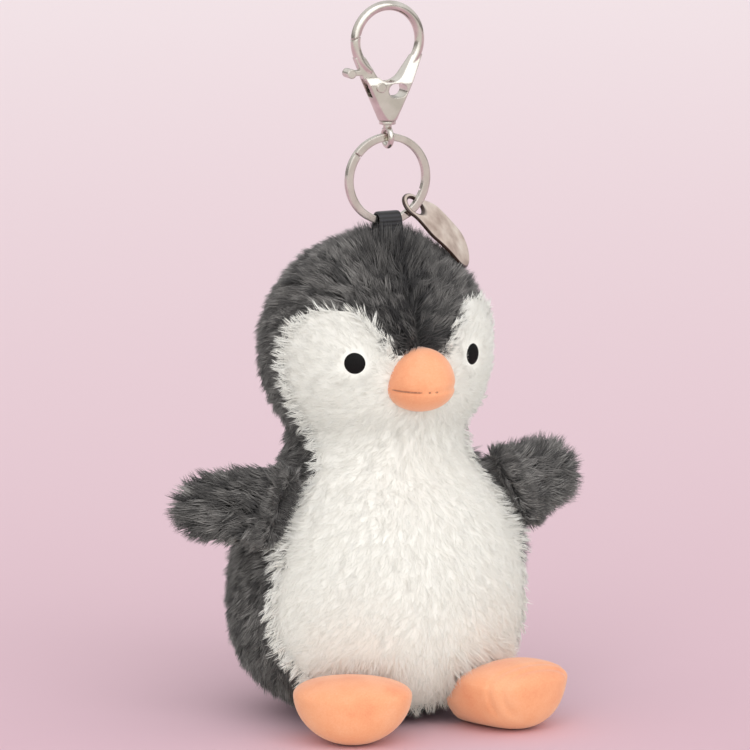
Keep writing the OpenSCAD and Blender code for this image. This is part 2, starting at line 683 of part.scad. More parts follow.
// Gate spring: a small coil round the rivet beside the gate's hub
coil_r = 1.45;
coil_wire = 0.17;
coil_turns = 2.25;
coil_steps = 30;
module gate_spring() {
  path = [for (i = [0 : coil_steps]) let (a = 360 * coil_turns * i / coil_steps)
    [coil_r * cos(a), coil_r * sin(a), i / coil_steps]];
  last = len(path) - 1;
  rings = [for (i = [0 : last]) let (
      a = 360 * coil_turns * i / coil_steps,
      n = [cos(a), sin(a), 0]
    ) [for (j = [0 : 5]) path[i] + coil_wire * (cos(60 * j) * n + sin(60 * j) * [0, 0, 1])]];
  color(steel) translate([gate_at[0], 1.3 - charm_y, gate_at[1]]) rotate([90, 0, 0])
    filling(rings, path[0], path[last]);
}

right_crown_panel();
left_crown_panel();
face_panel();
right_back_panel();
left_back_panel();
belly_panel();
body_stuffing();
right_flipper_front();
right_flipper_back();
right_flipper_stuffing();
left_flipper_front();
left_flipper_back();
left_flipper_stuffing();
right_foot_upper();
right_foot_sole();
right_foot_stuffing();
left_foot_upper();
left_foot_sole();
left_foot_stuffing();
beak_upper();
beak_lower();
beak_stuffing();
mouth_stitch();
right_eye();
left_eye();
ribbon_loop();
split_ring();
ring_tag();
clasp_body();
clasp_gate();
gate_rivet();
gate_spring();
swivel_eye();
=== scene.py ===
import bpy
import math
import numpy as np
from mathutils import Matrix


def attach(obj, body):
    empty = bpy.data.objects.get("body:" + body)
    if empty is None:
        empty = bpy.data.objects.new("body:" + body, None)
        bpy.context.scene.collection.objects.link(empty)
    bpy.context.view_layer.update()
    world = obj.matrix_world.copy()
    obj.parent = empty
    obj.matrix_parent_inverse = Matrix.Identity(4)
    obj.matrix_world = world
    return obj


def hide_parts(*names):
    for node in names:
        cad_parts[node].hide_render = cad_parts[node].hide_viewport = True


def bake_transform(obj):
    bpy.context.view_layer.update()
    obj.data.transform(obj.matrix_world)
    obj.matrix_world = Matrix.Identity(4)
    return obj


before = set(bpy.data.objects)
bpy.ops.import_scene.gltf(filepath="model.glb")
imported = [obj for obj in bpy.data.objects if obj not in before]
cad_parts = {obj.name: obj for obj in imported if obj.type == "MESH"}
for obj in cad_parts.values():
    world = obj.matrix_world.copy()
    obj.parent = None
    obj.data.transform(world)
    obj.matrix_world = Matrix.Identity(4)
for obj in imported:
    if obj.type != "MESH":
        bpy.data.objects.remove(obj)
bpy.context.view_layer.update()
scene = bpy.context.scene
scene.view_settings.view_transform = "Standard"

# Camera: a long lens some way off, a little to the penguin's right and a little above it.
# Its frame is 205.5 mm across at the penguin, which sits on the frame's middle line.
CAM_TURN, CAM_RISE = math.radians(-25), math.radians(10)
CAM_REACH, CAM_LOOK = 2.4, (0.0, 0.0, 0.0935)
SENSOR_MM, FRAME_WIDE = 36, 0.2055
camera_data = bpy.data.cameras.new("camera")
camera_data.sensor_width = SENSOR_MM
camera_data.lens = SENSOR_MM * CAM_REACH / FRAME_WIDE
camera = bpy.data.objects.new("camera", camera_data)
scene.collection.objects.link(camera)
camera.location = (
    CAM_LOOK[0] + CAM_REACH * math.sin(CAM_TURN) * math.cos(CAM_RISE),
    CAM_LOOK[1] - CAM_REACH * math.cos(CAM_TURN) * math.cos(CAM_RISE),
    CAM_LOOK[2] + CAM_REACH * math.sin(CAM_RISE),
)
camera.rotation_euler = (math.pi / 2 - CAM_RISE, 0, CAM_TURN)
scene.camera = camera


# Studio: a pale pink paper sweep, so wide that it fills the frame, and soft light from the front and all
# round. The paper is deeper pink by the penguin and paler far behind it, and what it throws back on it is
# neutral.
def linear(code):
    """sRGB hex to linear colour: the low end divides by 12.92, the rest is a 2.4 power."""
    c = np.array([int(code[i:i + 2], 16) for i in (1, 3, 5)]) / 255
    return (*np.where(c <= 0.04045, c / 12.92, ((c + 0.055) / 1.055) ** 2.4), 1.0)


def node(tree, kind, links=None, stops=(), **settings):
    """Adds a shader node. Settings set its properties, or its sockets where they start with in_, and links
    feed its sockets. Stops are a colour ramp's places, each with a hex colour or a grey value."""
    made = tree.nodes.new(kind)
    for key, value in settings.items():
        if key.startswith("in_"):
            socket = key[3:]
            made.inputs[int(socket) if socket.isdigit() else socket.replace("_", " ")].default_value = value
        else:
            setattr(made, key, value)
    for _ in stops[2:]:
        made.color_ramp.elements.new(0.5)
    for count, (place, colour) in enumerate(stops):
        element = made.color_ramp.elements[count]
        element.position = place
        element.color = linear(colour) if isinstance(colour, str) else (colour, colour, colour, 1)
    for socket, source in (links or {}).items():
        tree.links.new(source, made.inputs[socket])
    return made


def new_material(name, **sockets):
    """An empty material with its Principled shader; sockets set the shader's constants."""
    made = bpy.data.materials.new(name)
    made.use_nodes = True
    tree = made.node_tree
    tree.nodes.clear()
    shader = node(tree, "ShaderNodeBsdfPrincipled", **{"in_" + key: value for key, value in sockets.items()})
    node(tree, "ShaderNodeOutputMaterial", {"Surface": shader.outputs["BSDF"]})
    return made, tree, shader


def new_object(name, points, faces, material):
    """A smooth mesh object from points in millimetres and a list of arrays of faces, one row for each
    face."""
    mesh = bpy.data.meshes.new(name)
    points = np.asarray(points, float).reshape(-1, 3) * 0.001
    corners = [np.atleast_2d(f) for f in faces]
    sizes = np.concatenate([np.full(len(f), f.shape[1]) for f in corners])
    loops = np.concatenate([f.ravel() for f in corners])
    mesh.vertices.add(len(points))
    mesh.vertices.foreach_set("co", points.astype(np.float32).ravel())
    mesh.loops.add(len(loops))
    mesh.loops.foreach_set("vertex_index", loops.astype(np.int32))
    mesh.polygons.add(len(sizes))
    mesh.polygons.foreach_set("loop_start", np.concatenate([[0], np.cumsum(sizes)[:-1]]).astype(np.int32))
    mesh.polygons.foreach_set("use_smooth", np.ones(len(sizes), bool))
    mesh.update(calc_edges=True)
    mesh.materials.append(material)
    made = bpy.data.objects.new(name, mesh)
    scene.collection.objects.link(made)
    return made


# Matt paper scatters light evenly. Its gradient runs along the camera's own direction.
PAPER_FRONT, PAPER_NEAR, PAPER_FAR, PAPER_BOUNCE = "#E4E1DB", "#DAB7C4", "#F1E7EA", "#E8E7E4"
PAPER_WIDE, FADE_FROM, FADE_TO = 9000, -1.1, 1.9
paper, tree, shader = new_material("matt_pink_paper", Roughness=0.95, Specular_IOR_Level=0.1)
where = node(tree, "ShaderNodeTexCoord").outputs["Object"]
along = node(tree, "ShaderNodeVectorMath", {0: where}, operation="DOT_PRODUCT",
             in_1=(-math.sin(CAM_TURN), math.cos(CAM_TURN), 0)).outputs["Value"]
distance = node(tree, "ShaderNodeMapRange", {"Value": along}, in_1=FADE_FROM, in_2=FADE_TO).outputs["Result"]
pink = node(tree, "ShaderNodeValToRGB", {"Fac": distance},
            stops=[(0.1, PAPER_FRONT), (0.3, PAPER_NEAR), (1, PAPER_FAR)]).outputs["Color"]
ray = node(tree, "ShaderNodeLightPath").outputs
seen = node(tree, "ShaderNodeMath", {0: ray["Is Camera Ray"], 1: ray["Is Glossy Ray"]}, operation="MAXIMUM")
seen = node(tree, "ShaderNodeMath", {0: seen.outputs["Value"], 1: ray["Is Transmission Ray"]},
            operation="MAXIMUM")
colour = node(tree, "ShaderNodeMix", {0: seen.outputs["Value"], 7: pink}, data_type="RGBA",
              in_6=linear(PAPER_BOUNCE))
tree.links.new(colour.outputs[2], shader.inputs["Base Color"])
half = PAPER_WIDE / 2
sweep = new_object("paper_sweep", [(-half, -half, 0), (half, -half, 0), (half, half, 0), (-half, half, 0)],
                   [[0, 1, 2, 3]], paper)

ROOM_LIGHT, ROOM_FROM = 0.86, -0.2
world = bpy.data.worlds.new("soft_room")
world.use_nodes = True
tree = world.node_tree
tree.nodes.clear()
sky = node(tree, "ShaderNodeTexCoord").outputs["Generated"]
sky = node(tree, "ShaderNodeSeparateXYZ", {0: sky}).outputs["Z"]
sky = node(tree, "ShaderNodeMapRange", {"Value": sky}, in_1=ROOM_FROM, in_2=1.0).outputs["Result"]
room = node(tree, "ShaderNodeValToRGB", {"Fac": sky}, stops=[
    (0, "#8C8784"), (0.24, "#A09B98"), (0.42, "#FFFDFA"), (1, "#FFFFFF")]).outputs["Color"]
glow = node(tree, "ShaderNodeBackground", {"Color": room}, in_Strength=ROOM_LIGHT).outputs["Background"]
node(tree, "ShaderNodeOutputWorld", {"Surface": glow})
scene.world = world

KEY_FROM, KEY_POWER, KEY_SOFT = (-0.28, -1.2, 0.6), 1.55, math.radians(80)
key_data = bpy.data.lights.new("key", "SUN")
key_data.energy = KEY_POWER
key_data.angle = KEY_SOFT
key = bpy.data.objects.new("key", key_data)
scene.collection.objects.link(key)
key.rotation_euler = (
    math.atan2(math.hypot(KEY_FROM[0], KEY_FROM[1]), KEY_FROM[2]), 0,
    math.atan2(KEY_FROM[0], -KEY_FROM[1]),
)

# Torso: body and head are two stuffed swelling forms that meet in a soft neck.
# Everything sewn on them takes its place from this outline, which is measured to the tips of the pile.
BODY_WIDE, BODY_DEEP, BODY_Z, BODY_UP, SEAT_CUT, SEAT_ROUND = 83, 75, 33, 48.6, 0.5, 2.5
HEAD_WIDE, HEAD_DEEP, HEAD_Z, HEAD_UP, HEAD_DOWN = 65, 62, 101.5, 32, 33
NECK_Z, EYE_Z, PEAK_Z, LOBE_Z, TOP_Z = 71.5, 102, 104, 116, 133.5
BELLY_TURN, NECK_TURN, CHEEK_TURN, PEAK_TURN, LOBE_TURN = 67, 62, 76, 14, (33, 47)
NECK_FROM, NECK_LONG = 60, 25


def lobe(d, reach, r, power):
    """A swelling form's radius: r at d = 0, falling to nothing at d = reach on a curve of that power."""
    return r * (1 - np.clip(d / reach, 0, 1) ** power) ** (1 / power)


def ease(t):
    """Runs smoothly from 0 to 1: three squares less two cubes."""
    t = np.clip(t, 0, 1)
    return t * t * (3 - 2 * t)


def unit(v):
    """Vectors brought to a length of 1."""
    v = np.asarray(v, float)
    return v / (np.linalg.norm(v, axis=-1, keepdims=True) + 1e-9)


def torso_radius(z):
    """Half the torso's width: the cube root of the sum of the cubes of the body's and the head's."""
    body = np.where(z < BODY_Z, lobe(BODY_Z - z, BODY_Z + SEAT_CUT, BODY_WIDE / 2, SEAT_ROUND),
                    lobe(z - BODY_Z, BODY_UP, BODY_WIDE / 2, 2))
    head = np.where(z < HEAD_Z, lobe(HEAD_Z - z, HEAD_DOWN, HEAD_WIDE / 2, 2),
                    lobe(z - HEAD_Z, HEAD_UP, HEAD_WIDE / 2, 2))
    return np.cbrt(body ** 3 + head ** 3)


def torso_depth(z):
    """The torso's depth as a share of its width, easing from the body's to the head's over the neck."""
    body, head = BODY_DEEP / BODY_WIDE, HEAD_DEEP / HEAD_WIDE
    return body + (head - body) * ease((z - NECK_FROM) / NECK_LONG)


# The outline as close points, across the seat and up the side, with the way along it and its slope
SEAT_STEPS, SIDE_STEPS = 60, 3000
profile_z = TOP_Z * (1 - np.cos(np.linspace(0, np.pi, SIDE_STEPS))) / 2
profile_r = torso_radius(profile_z)
profile_r[-1] = 0
profile_z = np.concatenate([np.zeros(SEAT_STEPS), profile_z])
profile_r = np.concatenate([np.linspace(0, profile_r[0], SEAT_STEPS, endpoint=False), profile_r])
profile_s = np.concatenate([[0], np.cumsum(np.hypot(np.diff(profile_r), np.diff(profile_z)))])
slope_r, slope_z = np.gradient(profile_r, profile_s), np.gradient(profile_z, profile_s)
slope = np.hypot(slope_r, slope_z)
slope_r, slope_z = slope_r / slope, slope_z / slope


def up_side(z):
    """The way along the outline from the seat's middle to a height on the side."""
    return np.interp(z, profile_z[SEAT_STEPS:], profile_s[SEAT_STEPS:])


def torso_at(s, a, inset):
    """Point and outward normal of the torso, s along the outline from the seat's middle and a round from
    the front: the outline's point goes in by inset along its own normal and is then turned about the middle
    line."""
    r, z = np.interp(s, profile_s, profile_r), np.interp(s, profile_s, profile_z)
    nr, nz = np.interp(s, profile_s, slope_z), -np.interp(s, profile_s, slope_r)
    q = torso_depth(z)
    wide = np.maximum(r - inset * nr, 0)
    point = np.stack([wide * np.sin(a), -wide * np.cos(a) * q, z - inset * nz], -1)
    normal = np.stack([q * nr * np.sin(a), -nr * np.cos(a), q * nz], -1)
    return point, unit(normal)


# The white belly starts a third of the way round the body's lower quarter
quarter = np.pi / 2
belly_tip = BODY_Z * (1 - math.cos(quarter / 3))


def front_turn(z):
    """Half the angle of the white front at a height: round at the bottom, straight up the belly, wider at the
    cheeks, closing in round curves to the lobes' tops."""
    low = BELLY_TURN * np.sqrt(np.clip(1 - ((BODY_Z - z) / (BODY_Z - belly_tip)) ** 2, 0, 1))
    belly = BELLY_TURN + (NECK_TURN - BELLY_TURN) * (z - BODY_Z) / (NECK_Z - BODY_Z)
    cheek = NECK_TURN + (CHEEK_TURN - NECK_TURN) * np.sin(quarter * (z - NECK_Z) / (EYE_Z - NECK_Z))
    top = LOBE_TURN[1] + (CHEEK_TURN - LOBE_TURN[1]) * np.sqrt(
        np.clip(1 - ((z - EYE_Z) / (LOBE_Z - EYE_Z)) ** 2, 0, 1))
    return np.radians(np.select([z <= belly_tip, z < BODY_Z, z < NECK_Z, z < EYE_Z, z < LOBE_Z],
                                [0 * z, low, belly, cheek, top], LOBE_TURN[1]))


def peak_turn(z):
    """Half the angle of the dark peak on the forehead, widening from the beak to the lobes' tops."""
    share = np.clip((z - PEAK_Z) / (LOBE_Z - PEAK_Z), 0, 1) ** 1.4
    return np.radians(PEAK_TURN + (LOBE_TURN[0] - PEAK_TURN) * share)


def on_panel(name, s, a, ragged=0.0):
    """True where the torso at s, a belongs to the named panel; ragged shifts the seam by that angle."""
    z, turn = np.interp(s, profile_s, profile_z), np.abs(a)
    white = (turn < front_turn(z) + ragged) & (z > belly_tip) & (z < LOBE_Z)
    white &= ~((z > PEAK_Z) & (turn < peak_turn(z) - ragged))
    if name == "belly_panel":
        return white & (z < NECK_Z)
    if name == "face_panel":
        return white & (z >= NECK_Z)
    side = a < 0 if name.startswith("right") else a >= 0
    return ~white & side & ((z < NECK_Z) if "back" in name else (z >= NECK_Z))


# Plush panels: knitted backing with a brushed pile, cut to shape and sewn edge to edge with the pile outside.
# The pile stands in small locks whose tips draw together, combed away from the beak and down the back.
LOCK_TILT, STRAND_TILT, STRAND_TURN, STRAND_BEND = 7, 5, 9, (-0.45, 0.25)
LOCK_SIZES, STRAND_SIZES, LOCK_TONE, TONE_ENDS = (0.82, 1.14), (0.78, 1.08), 0.7, (0.04, 0.96)
SPIKE_TONES, SPIKE_HEIGHTS = np.array([-0.03, 0, 0.03] * 2 + [0.0]), np.array([0.02] * 3 + [0.5] * 3 + [0.98])
GROUND_PILE, MID_THICK = (0.3, 0.5), 0.85


def strands(rng, root, normal, flow, lock, length, lean, thick, pull, soft, shade=0.0, swirl=24.0):
    """Pile: each strand is a bent three-sided spike from its root, leaning along the flow, its points drawn
    by pull towards the middle of its lock. Returns points, their normals, drawn by soft from the strand's
    own to the cloth's as in a dense pile, quads, triangles, and a tone, less the shade, and a height for
    each point."""
    n = len(root)
    locks = lock.max() + 1
    along = unit(flow - (flow * normal).sum(-1, keepdims=True) * normal)
    across = np.cross(normal, along)
    turn = np.radians(rng.normal(0, swirl, locks)[lock] + rng.normal(0, STRAND_TURN, n))
    tilt = np.radians(lean + rng.normal(0, LOCK_TILT, locks)[lock] + rng.normal(0, STRAND_TILT, n))
    size = length * rng.uniform(*LOCK_SIZES, locks)[lock] * rng.uniform(*STRAND_SIZES, n)
    tone = LOCK_TONE * rng.random(locks)[lock] + (1 - LOCK_TONE) * rng.random(n)
    tone = np.clip(tone - shade, *TONE_ENDS)
    comb = np.cos(turn)[:, None] * along + np.sin(turn)[:, None] * across
    low, high = (tilt + STRAND_BEND[0])[:, None], (tilt + STRAND_BEND[1])[:, None]
    first = np.cos(low) * normal + np.sin(low) * comb
    second = np.cos(high) * normal + np.sin(high) * comb
    t = np.array([0.0, 0.5, 1.0])[:, None, None]
    spine = root + size[:, None] * (t * (1 - t / 2) * first + t * t / 2 * second)
    count = np.maximum(np.bincount(lock, minlength=locks), 1)
    for i in (1, 2):
        middle = np.stack([np.bincount(lock, spine[i, :, k], locks) for k in range(3)], -1) / count[:, None]
        spine[i] += pull * t[i] * (middle[lock] - spine[i])
    spine[:, :, 2] = np.maximum(spine[:, :, 2], GROUND_PILE[0] + GROUND_PILE[1] * rng.random(n))
    heading = unit(spine[2] - spine[0])
    side = unit(np.cross(heading, normal))
    back = np.cross(heading, side)
    a = rng.random(n)[:, None] * 2 * np.pi + 2 * np.pi / 3 * np.arange(3)
    rim = np.cos(a)[..., None] * side[:, None] + np.sin(a)[..., None] * back[:, None]
    points = np.concatenate([spine[0][:, None] + thick * rim, spine[1][:, None] + MID_THICK * thick * rim,
                             spine[2][:, None]], 1)
    normals = np.concatenate([rim, rim, normal[:, None]], 1) * (1 - soft) + soft * normal[:, None]
    quads = np.array([[0, 1, 4, 3], [1, 2, 5, 4], [2, 0, 3, 5]])
    tips = np.array([[3, 4, 6], [4, 5, 6], [5, 3, 6]])
    start = (len(SPIKE_TONES) * np.arange(n))[:, None, None]
    tones = tone[:, None] + SPIKE_TONES
    heights = np.broadcast_to(SPIKE_HEIGHTS, tones.shape)
    return (points.reshape(-1, 3), unit(normals).reshape(-1, 3), (quads + start).reshape(-1, 4),
            (tips + start).reshape(-1, 3), tones.ravel(), heights.ravel())


def sealed(outer, inner, cells):
    """Closed backing between two grids of points: both faces of the marked cells and the walls round them.
    Returns points, faces and the cloth's own direction at each point, so that no seam shows in the
    shading."""
    rows, cols = outer.shape[:2]
    index = np.arange(rows * cols).reshape(rows, cols)
    below = index + rows * cols
    a, b, c, d = index[:-1, :-1], index[:-1, 1:], index[1:, 1:], index[1:, :-1]
    e, f, g, h = below[:-1, :-1], below[:-1, 1:], below[1:, 1:], below[1:, :-1]
    faces = [np.stack([a, b, c, d], -1)[cells], np.stack([e, h, g, f], -1)[cells]]
    wide = np.pad(cells, 1)
    walls = {(0, 1): (b, a, e, f), (2, 1): (d, c, g, h), (1, 0): (a, d, h, e), (1, 2): (c, b, f, g)}
    for (row, col), corners in walls.items():
        open_edge = cells & ~wide[row:row + cells.shape[0], col:col + cells.shape[1]]
        faces.append(np.stack(corners, -1)[open_edge])
    points = np.concatenate([outer.reshape(-1, 3), inner.reshape(-1, 3)])
    used, faces = np.unique(np.concatenate(faces), return_inverse=True)
    facing = unit(outer - inner).reshape(-1, 3)
    return points[used], faces.reshape(-1, 4), np.concatenate([facing, -facing])[used]


def plush_material(name, tones, root_dye_and_shade):
    """Brushed pile: the map's u gives a strand's tone and its v the height, darker at the root, partly as the
    fibres are dyed with lighter tips and partly as painted shade deep in the pile. The sheen is the soft glow
    of fibre ends, and no strand shines."""
    made, tree, shader = new_material(name, Roughness=0.8, Specular_IOR_Level=0.2, Sheen_Weight=0.25,
                                      Sheen_Roughness=0.5)
    spot = node(tree, "ShaderNodeUVMap", uv_map="OFBake").outputs["UV"]
    spot = node(tree, "ShaderNodeSeparateXYZ", {0: spot}).outputs
    colour = node(tree, "ShaderNodeValToRGB", {"Fac": spot["X"]}, stops=tones).outputs["Color"]
    shade = node(tree, "ShaderNodeValToRGB", {"Fac": spot["Y"]}, stops=[(0, root_dye_and_shade), (0.7, 1)])
    mixed = node(tree, "ShaderNodeMix", {6: colour, 7: shade.outputs["Color"]}, data_type="RGBA",
                 blend_type="MULTIPLY", in_0=1.0)
    tree.links.new(mixed.outputs[2], shader.inputs["Base Color"])
    return made


# The backing takes a middle tone at the roots' height, so it is darkened as the roots are: partly dye, partly
# painted shade.
BACKING_TONE, BACKING_HEIGHT = 0.3, 0.02


def plush(name, backing, coats, material):
    """One sewn panel: its backing and the coats of its pile in one mesh, with tone and height as its map."""
    skin, cells, facing = backing
    points, normals, faces = [skin], [facing], [cells]
    u, v = [np.full(len(skin), BACKING_TONE)], [np.full(len(skin), BACKING_HEIGHT)]
    for spikes, directions, quads, tips, tones, heights in coats:
        start = sum(len(p) for p in points)
        points.append(spikes)
        normals.append(directions)
        faces += [quads + start, tips + start]
        u.append(tones)
        v.append(heights)
    made = new_object(name, np.concatenate(points), faces, material)
    corner = np.concatenate([f.ravel() for f in faces])
    layer = made.data.uv_layers.new(name="OFBake")
    places = np.stack([np.concatenate(u)[corner], np.concatenate(v)[corner]], -1)
    layer.data.foreach_set("uv", places.astype(np.float32).ravel())
    made.data.normals_split_custom_set_from_vertices(np.concatenate(normals))
    return made


# The last number darkens the roots: the dark fur's dyed tips together with painted shade; the white gets
# none.
dark_plush = plush_material("charcoal_brushed_plush", [
    (0.0, "#2F2E30"), (0.4, "#5A5857"), (0.75, "#858280"), (1.0, "#B0ADAA")], 0.55)
white_plush = plush_material("white_brushed_plush", [
    (0.0, "#F8F5EF"), (0.5, "#FCFAF5"), (1.0, "#FFFEFB")], 1.0)
TORSO_FLAT, LOCK_SHIFT, SEAM_WAVER = 0.95, 0.25, 0.03
torso_area = 2 * np.pi * TORSO_FLAT * (profile_r[1:] * np.diff(profile_s)).sum()


def sow(rng, name, per_mm2, spread, tuft):
    """Roots of a panel's pile: lock middles spaced evenly over the torso on a spiral of golden-ratio turns,
    shifted a little, each with a tuft of strands round it. Only those on the panel are kept, whose seam
    wavers a little."""
    locks = int(torso_area * per_mm2 / tuft)
    weight = np.concatenate([[0], np.cumsum(profile_r[1:] * np.diff(profile_s))])
    count = np.arange(locks)
    s = np.interp((count + 0.5) / locks, weight / weight[-1], profile_s)
    girth = np.maximum(np.interp(s, profile_s, profile_r), 2)
    a = count * np.pi * (3 - math.sqrt(5))
    shift = LOCK_SHIFT * math.sqrt(tuft / per_mm2)
    s, a = s + rng.normal(0, shift, locks), a + rng.normal(0, shift, locks) / girth
    far = spread * np.sqrt(rng.random((locks, tuft)))
    way = rng.uniform(0, 2 * np.pi, (locks, tuft))
    lock = np.repeat(count, tuft)
    s = np.clip((s[:, None] + far * np.cos(way)).ravel(), 0.3, profile_s[-1] - 0.05)
    a = (a[:, None] + far * np.sin(way) / girth[:, None]).ravel()
    a = (a + np.pi) % (2 * np.pi) - np.pi
    keep = on_panel(name, s, a, rng.normal(0, SEAM_WAVER, locks)[lock])
    return s[keep], a[keep], np.unique(lock[keep], return_inverse=True)[1]


# Rows and columns of the backing follow the seams, as the cut panels do
LOW_ROWS, HIGH_ROWS, CHEEK_ROWS, PEAK_ROWS, CROWN_ROWS = 14, 14, 12, 5, 10
MID_COLS, SIDE_COLS, BACK_COLS = 4, 10, 18
SEAM_COL = MID_COLS + SIDE_COLS
lobe_rise = math.asin((LOBE_Z - HEAD_Z) / HEAD_UP)
crown_rise = lobe_rise + (quarter - lobe_rise) * np.arange(1, CROWN_ROWS + 1) / CROWN_ROWS
row_z = np.concatenate([
    [0], BODY_Z * (1 - np.cos(quarter * np.arange(1, LOW_ROWS + 1) / LOW_ROWS)),
    BODY_Z + (NECK_Z - BODY_Z) * np.sin(quarter * np.arange(1, HIGH_ROWS + 1) / HIGH_ROWS),
    NECK_Z + (PEAK_Z - NECK_Z) * (1 - np.cos(quarter * np.arange(1, CHEEK_ROWS + 1) / CHEEK_ROWS)),
    PEAK_Z + (LOBE_Z - PEAK_Z) * np.arange(1, PEAK_ROWS + 1) / PEAK_ROWS,
    HEAD_Z + HEAD_UP * np.sin(crown_rise)])
row_s = np.concatenate([[0], up_side(row_z)])
row_z = np.concatenate([[0], row_z])
seam_turn, peak = front_turn(row_z)[:, None], peak_turn(row_z)[:, None]
half_cols = np.concatenate([
    peak * np.arange(MID_COLS) / MID_COLS * (seam_turn > 0.02),
    peak + (seam_turn - peak) * np.arange(SIDE_COLS) / SIDE_COLS,
    seam_turn + (np.pi - seam_turn) * np.arange(BACK_COLS + 1) / BACK_COLS], 1)
half_cols[:, :SEAM_COL] = np.where(
    (row_z < NECK_Z)[:, None], seam_turn * np.arange(SEAM_COL) / SEAM_COL, half_cols[:, :SEAM_COL])
grid_a = np.concatenate([-half_cols[:, :0:-1], half_cols], 1)
grid_s = np.broadcast_to(row_s[:, None], grid_a.shape)
cell_s = (grid_s[:-1, :-1] + grid_s[1:, 1:]) / 2
cell_a = (grid_a[:-1, :-1] + grid_a[:-1, 1:] + grid_a[1:, :-1] + grid_a[1:, 1:]) / 4

CLOTH_THICK, SEAT_SOFT, SEAT_SHORT, SEAT_LEAN, MOST_LEAN = 1, 6, 0.55, 22, 84


def torso_panel(name, seed, comb, depth, coats, soft, material, bare=None):
    """A torso panel: backing at a depth below the pile's tips, and its coats of pile, each reaching so far
    from the seam between dark and white. comb(point) gives the flow, the share of length and of lean, and
    the shade, and bare(point) where no pile is. The pile is pressed flat and short under the seat."""
    rng = np.random.default_rng(seed)
    piles = []
    for coat in coats:
        s, a, lock = sow(rng, name, coat["per_mm2"], coat["spread"], coat["tuft"])
        root, normal = torso_at(s, a, depth)
        z, girth = np.interp(s, profile_s, profile_z), np.interp(s, profile_s, profile_r)
        gap = np.abs(front_turn(z) - np.abs(a)) * girth
        gap = np.where(z > PEAK_Z, np.minimum(gap, np.abs(np.abs(a) - peak_turn(z)) * girth), gap)
        keep = rng.random(len(s)) < ease(1.5 * (1 - gap / coat["reach"]))
        if bare:
            keep &= ~bare(root)
        root, normal, lock = root[keep], normal[keep], np.unique(lock[keep], return_inverse=True)[1]
        flow, long, lie, shade = comb(root)
        seat = ease((SEAT_SOFT - root[:, 2]) / SEAT_SOFT)
        piles.append(strands(rng, root, normal, flow, lock, coat["length"] * long * (1 - SEAT_SHORT * seat),
                             np.minimum(coat["lean"] * lie + SEAT_LEAN * seat, MOST_LEAN), coat["thick"],
                             coat["pull"], soft, shade))
    outer, _ = torso_at(grid_s, grid_a, depth)
    inner, _ = torso_at(grid_s, grid_a, depth + CLOTH_THICK)
    made = plush(name, sealed(outer, inner, on_panel(name, cell_s, cell_a)), piles, material)
    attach(made, "torso")
    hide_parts(name)
    return made


# Crown panels: right and left half of the dark hood, joined by a seam from the beak over the head to the
# nape. Their pile fans out from the top of the beak and lies back over the head, parted along the seam, and
# stands up round the ribbon that is sewn into it and under the tag.
EVERYWHERE = 1e9
DARK_DEPTH, DARK_SOFT = 3.4, 0.3
DARK_COAT = dict(per_mm2=5.2, spread=1.6, tuft=13, length=5.9, lean=52, thick=0.12, pull=0.5,
                 reach=EVERYWHERE)
CHARM_Y, RIBBON_WIDE, CROWN_Z, TAG_ACROSS, TAG_ALONG = 8, 7, 118, (13, 6, 5), (-9, 4.8, 6)
BROW, BROW_FROM, BEHIND, NAPE_FALL = np.array([0, -30, 105]), -4, (-12, 18), 70
# The flow parts along the seam; the forehead gets painted shade, broad and in a narrow line, each with a
# depth and a width.
PARTING, PARTING_WIDE, BROW_SHADES = 5, 3, ((0.22, 8), (0.2, 2))
RIBBON_LONG, BEFORE_LONG, RIBBON_STAND, BEFORE_STAND, TAG_STAND = 0.4, 0.8, 0.75, 0.2, 0.45


def near(v, middle, half, fade):
    """1 up to half each way from the middle, easing to nothing over the fade beyond it."""
    return ease((half + fade - np.abs(v - middle)) / fade)


def hood_comb(point):
    """Away from the beak's top along the head, turning down behind; painted shade along the forehead's
    parting.
    Standing up within about a ribbon's width of the ribbon, longest before it, and under the tag."""
    x, y, z = point.T
    flow = point - BROW
    flow[:, 2] -= NAPE_FALL * ease((y - BEHIND[0]) / (BEHIND[1] - BEHIND[0]))
    flow[:, 0] += np.sign(x) * PARTING * np.exp(-(x / PARTING_WIDE) ** 2)
    by_ribbon = near(np.hypot(x, y + CHARM_Y), 0, 0.7 * RIBBON_WIDE, RIBBON_WIDE) * ease((z - CROWN_Z) / 6)
    before = by_ribbon * ease((-y - CHARM_Y - 1) / 2)
    by_tag = near(x, *TAG_ACROSS) * near(y, *TAG_ALONG) * ease(z - CROWN_Z + 2)
    shade = ease((BROW_FROM - y) / 12) * sum(deep * np.exp(-(x / wide) ** 2) for deep, wide in BROW_SHADES)
    stand = np.maximum(RIBBON_STAND * by_ribbon + BEFORE_STAND * before, TAG_STAND * by_tag)
    return flow, 1 + RIBBON_LONG * by_ribbon + BEFORE_LONG * before, 1 - stand, shade


for side, seed in (("right", 11), ("left", 12)):
    panel = torso_panel(f"{side}_crown_panel", seed, hood_comb, DARK_DEPTH, [DARK_COAT], DARK_SOFT,
                        dark_plush)


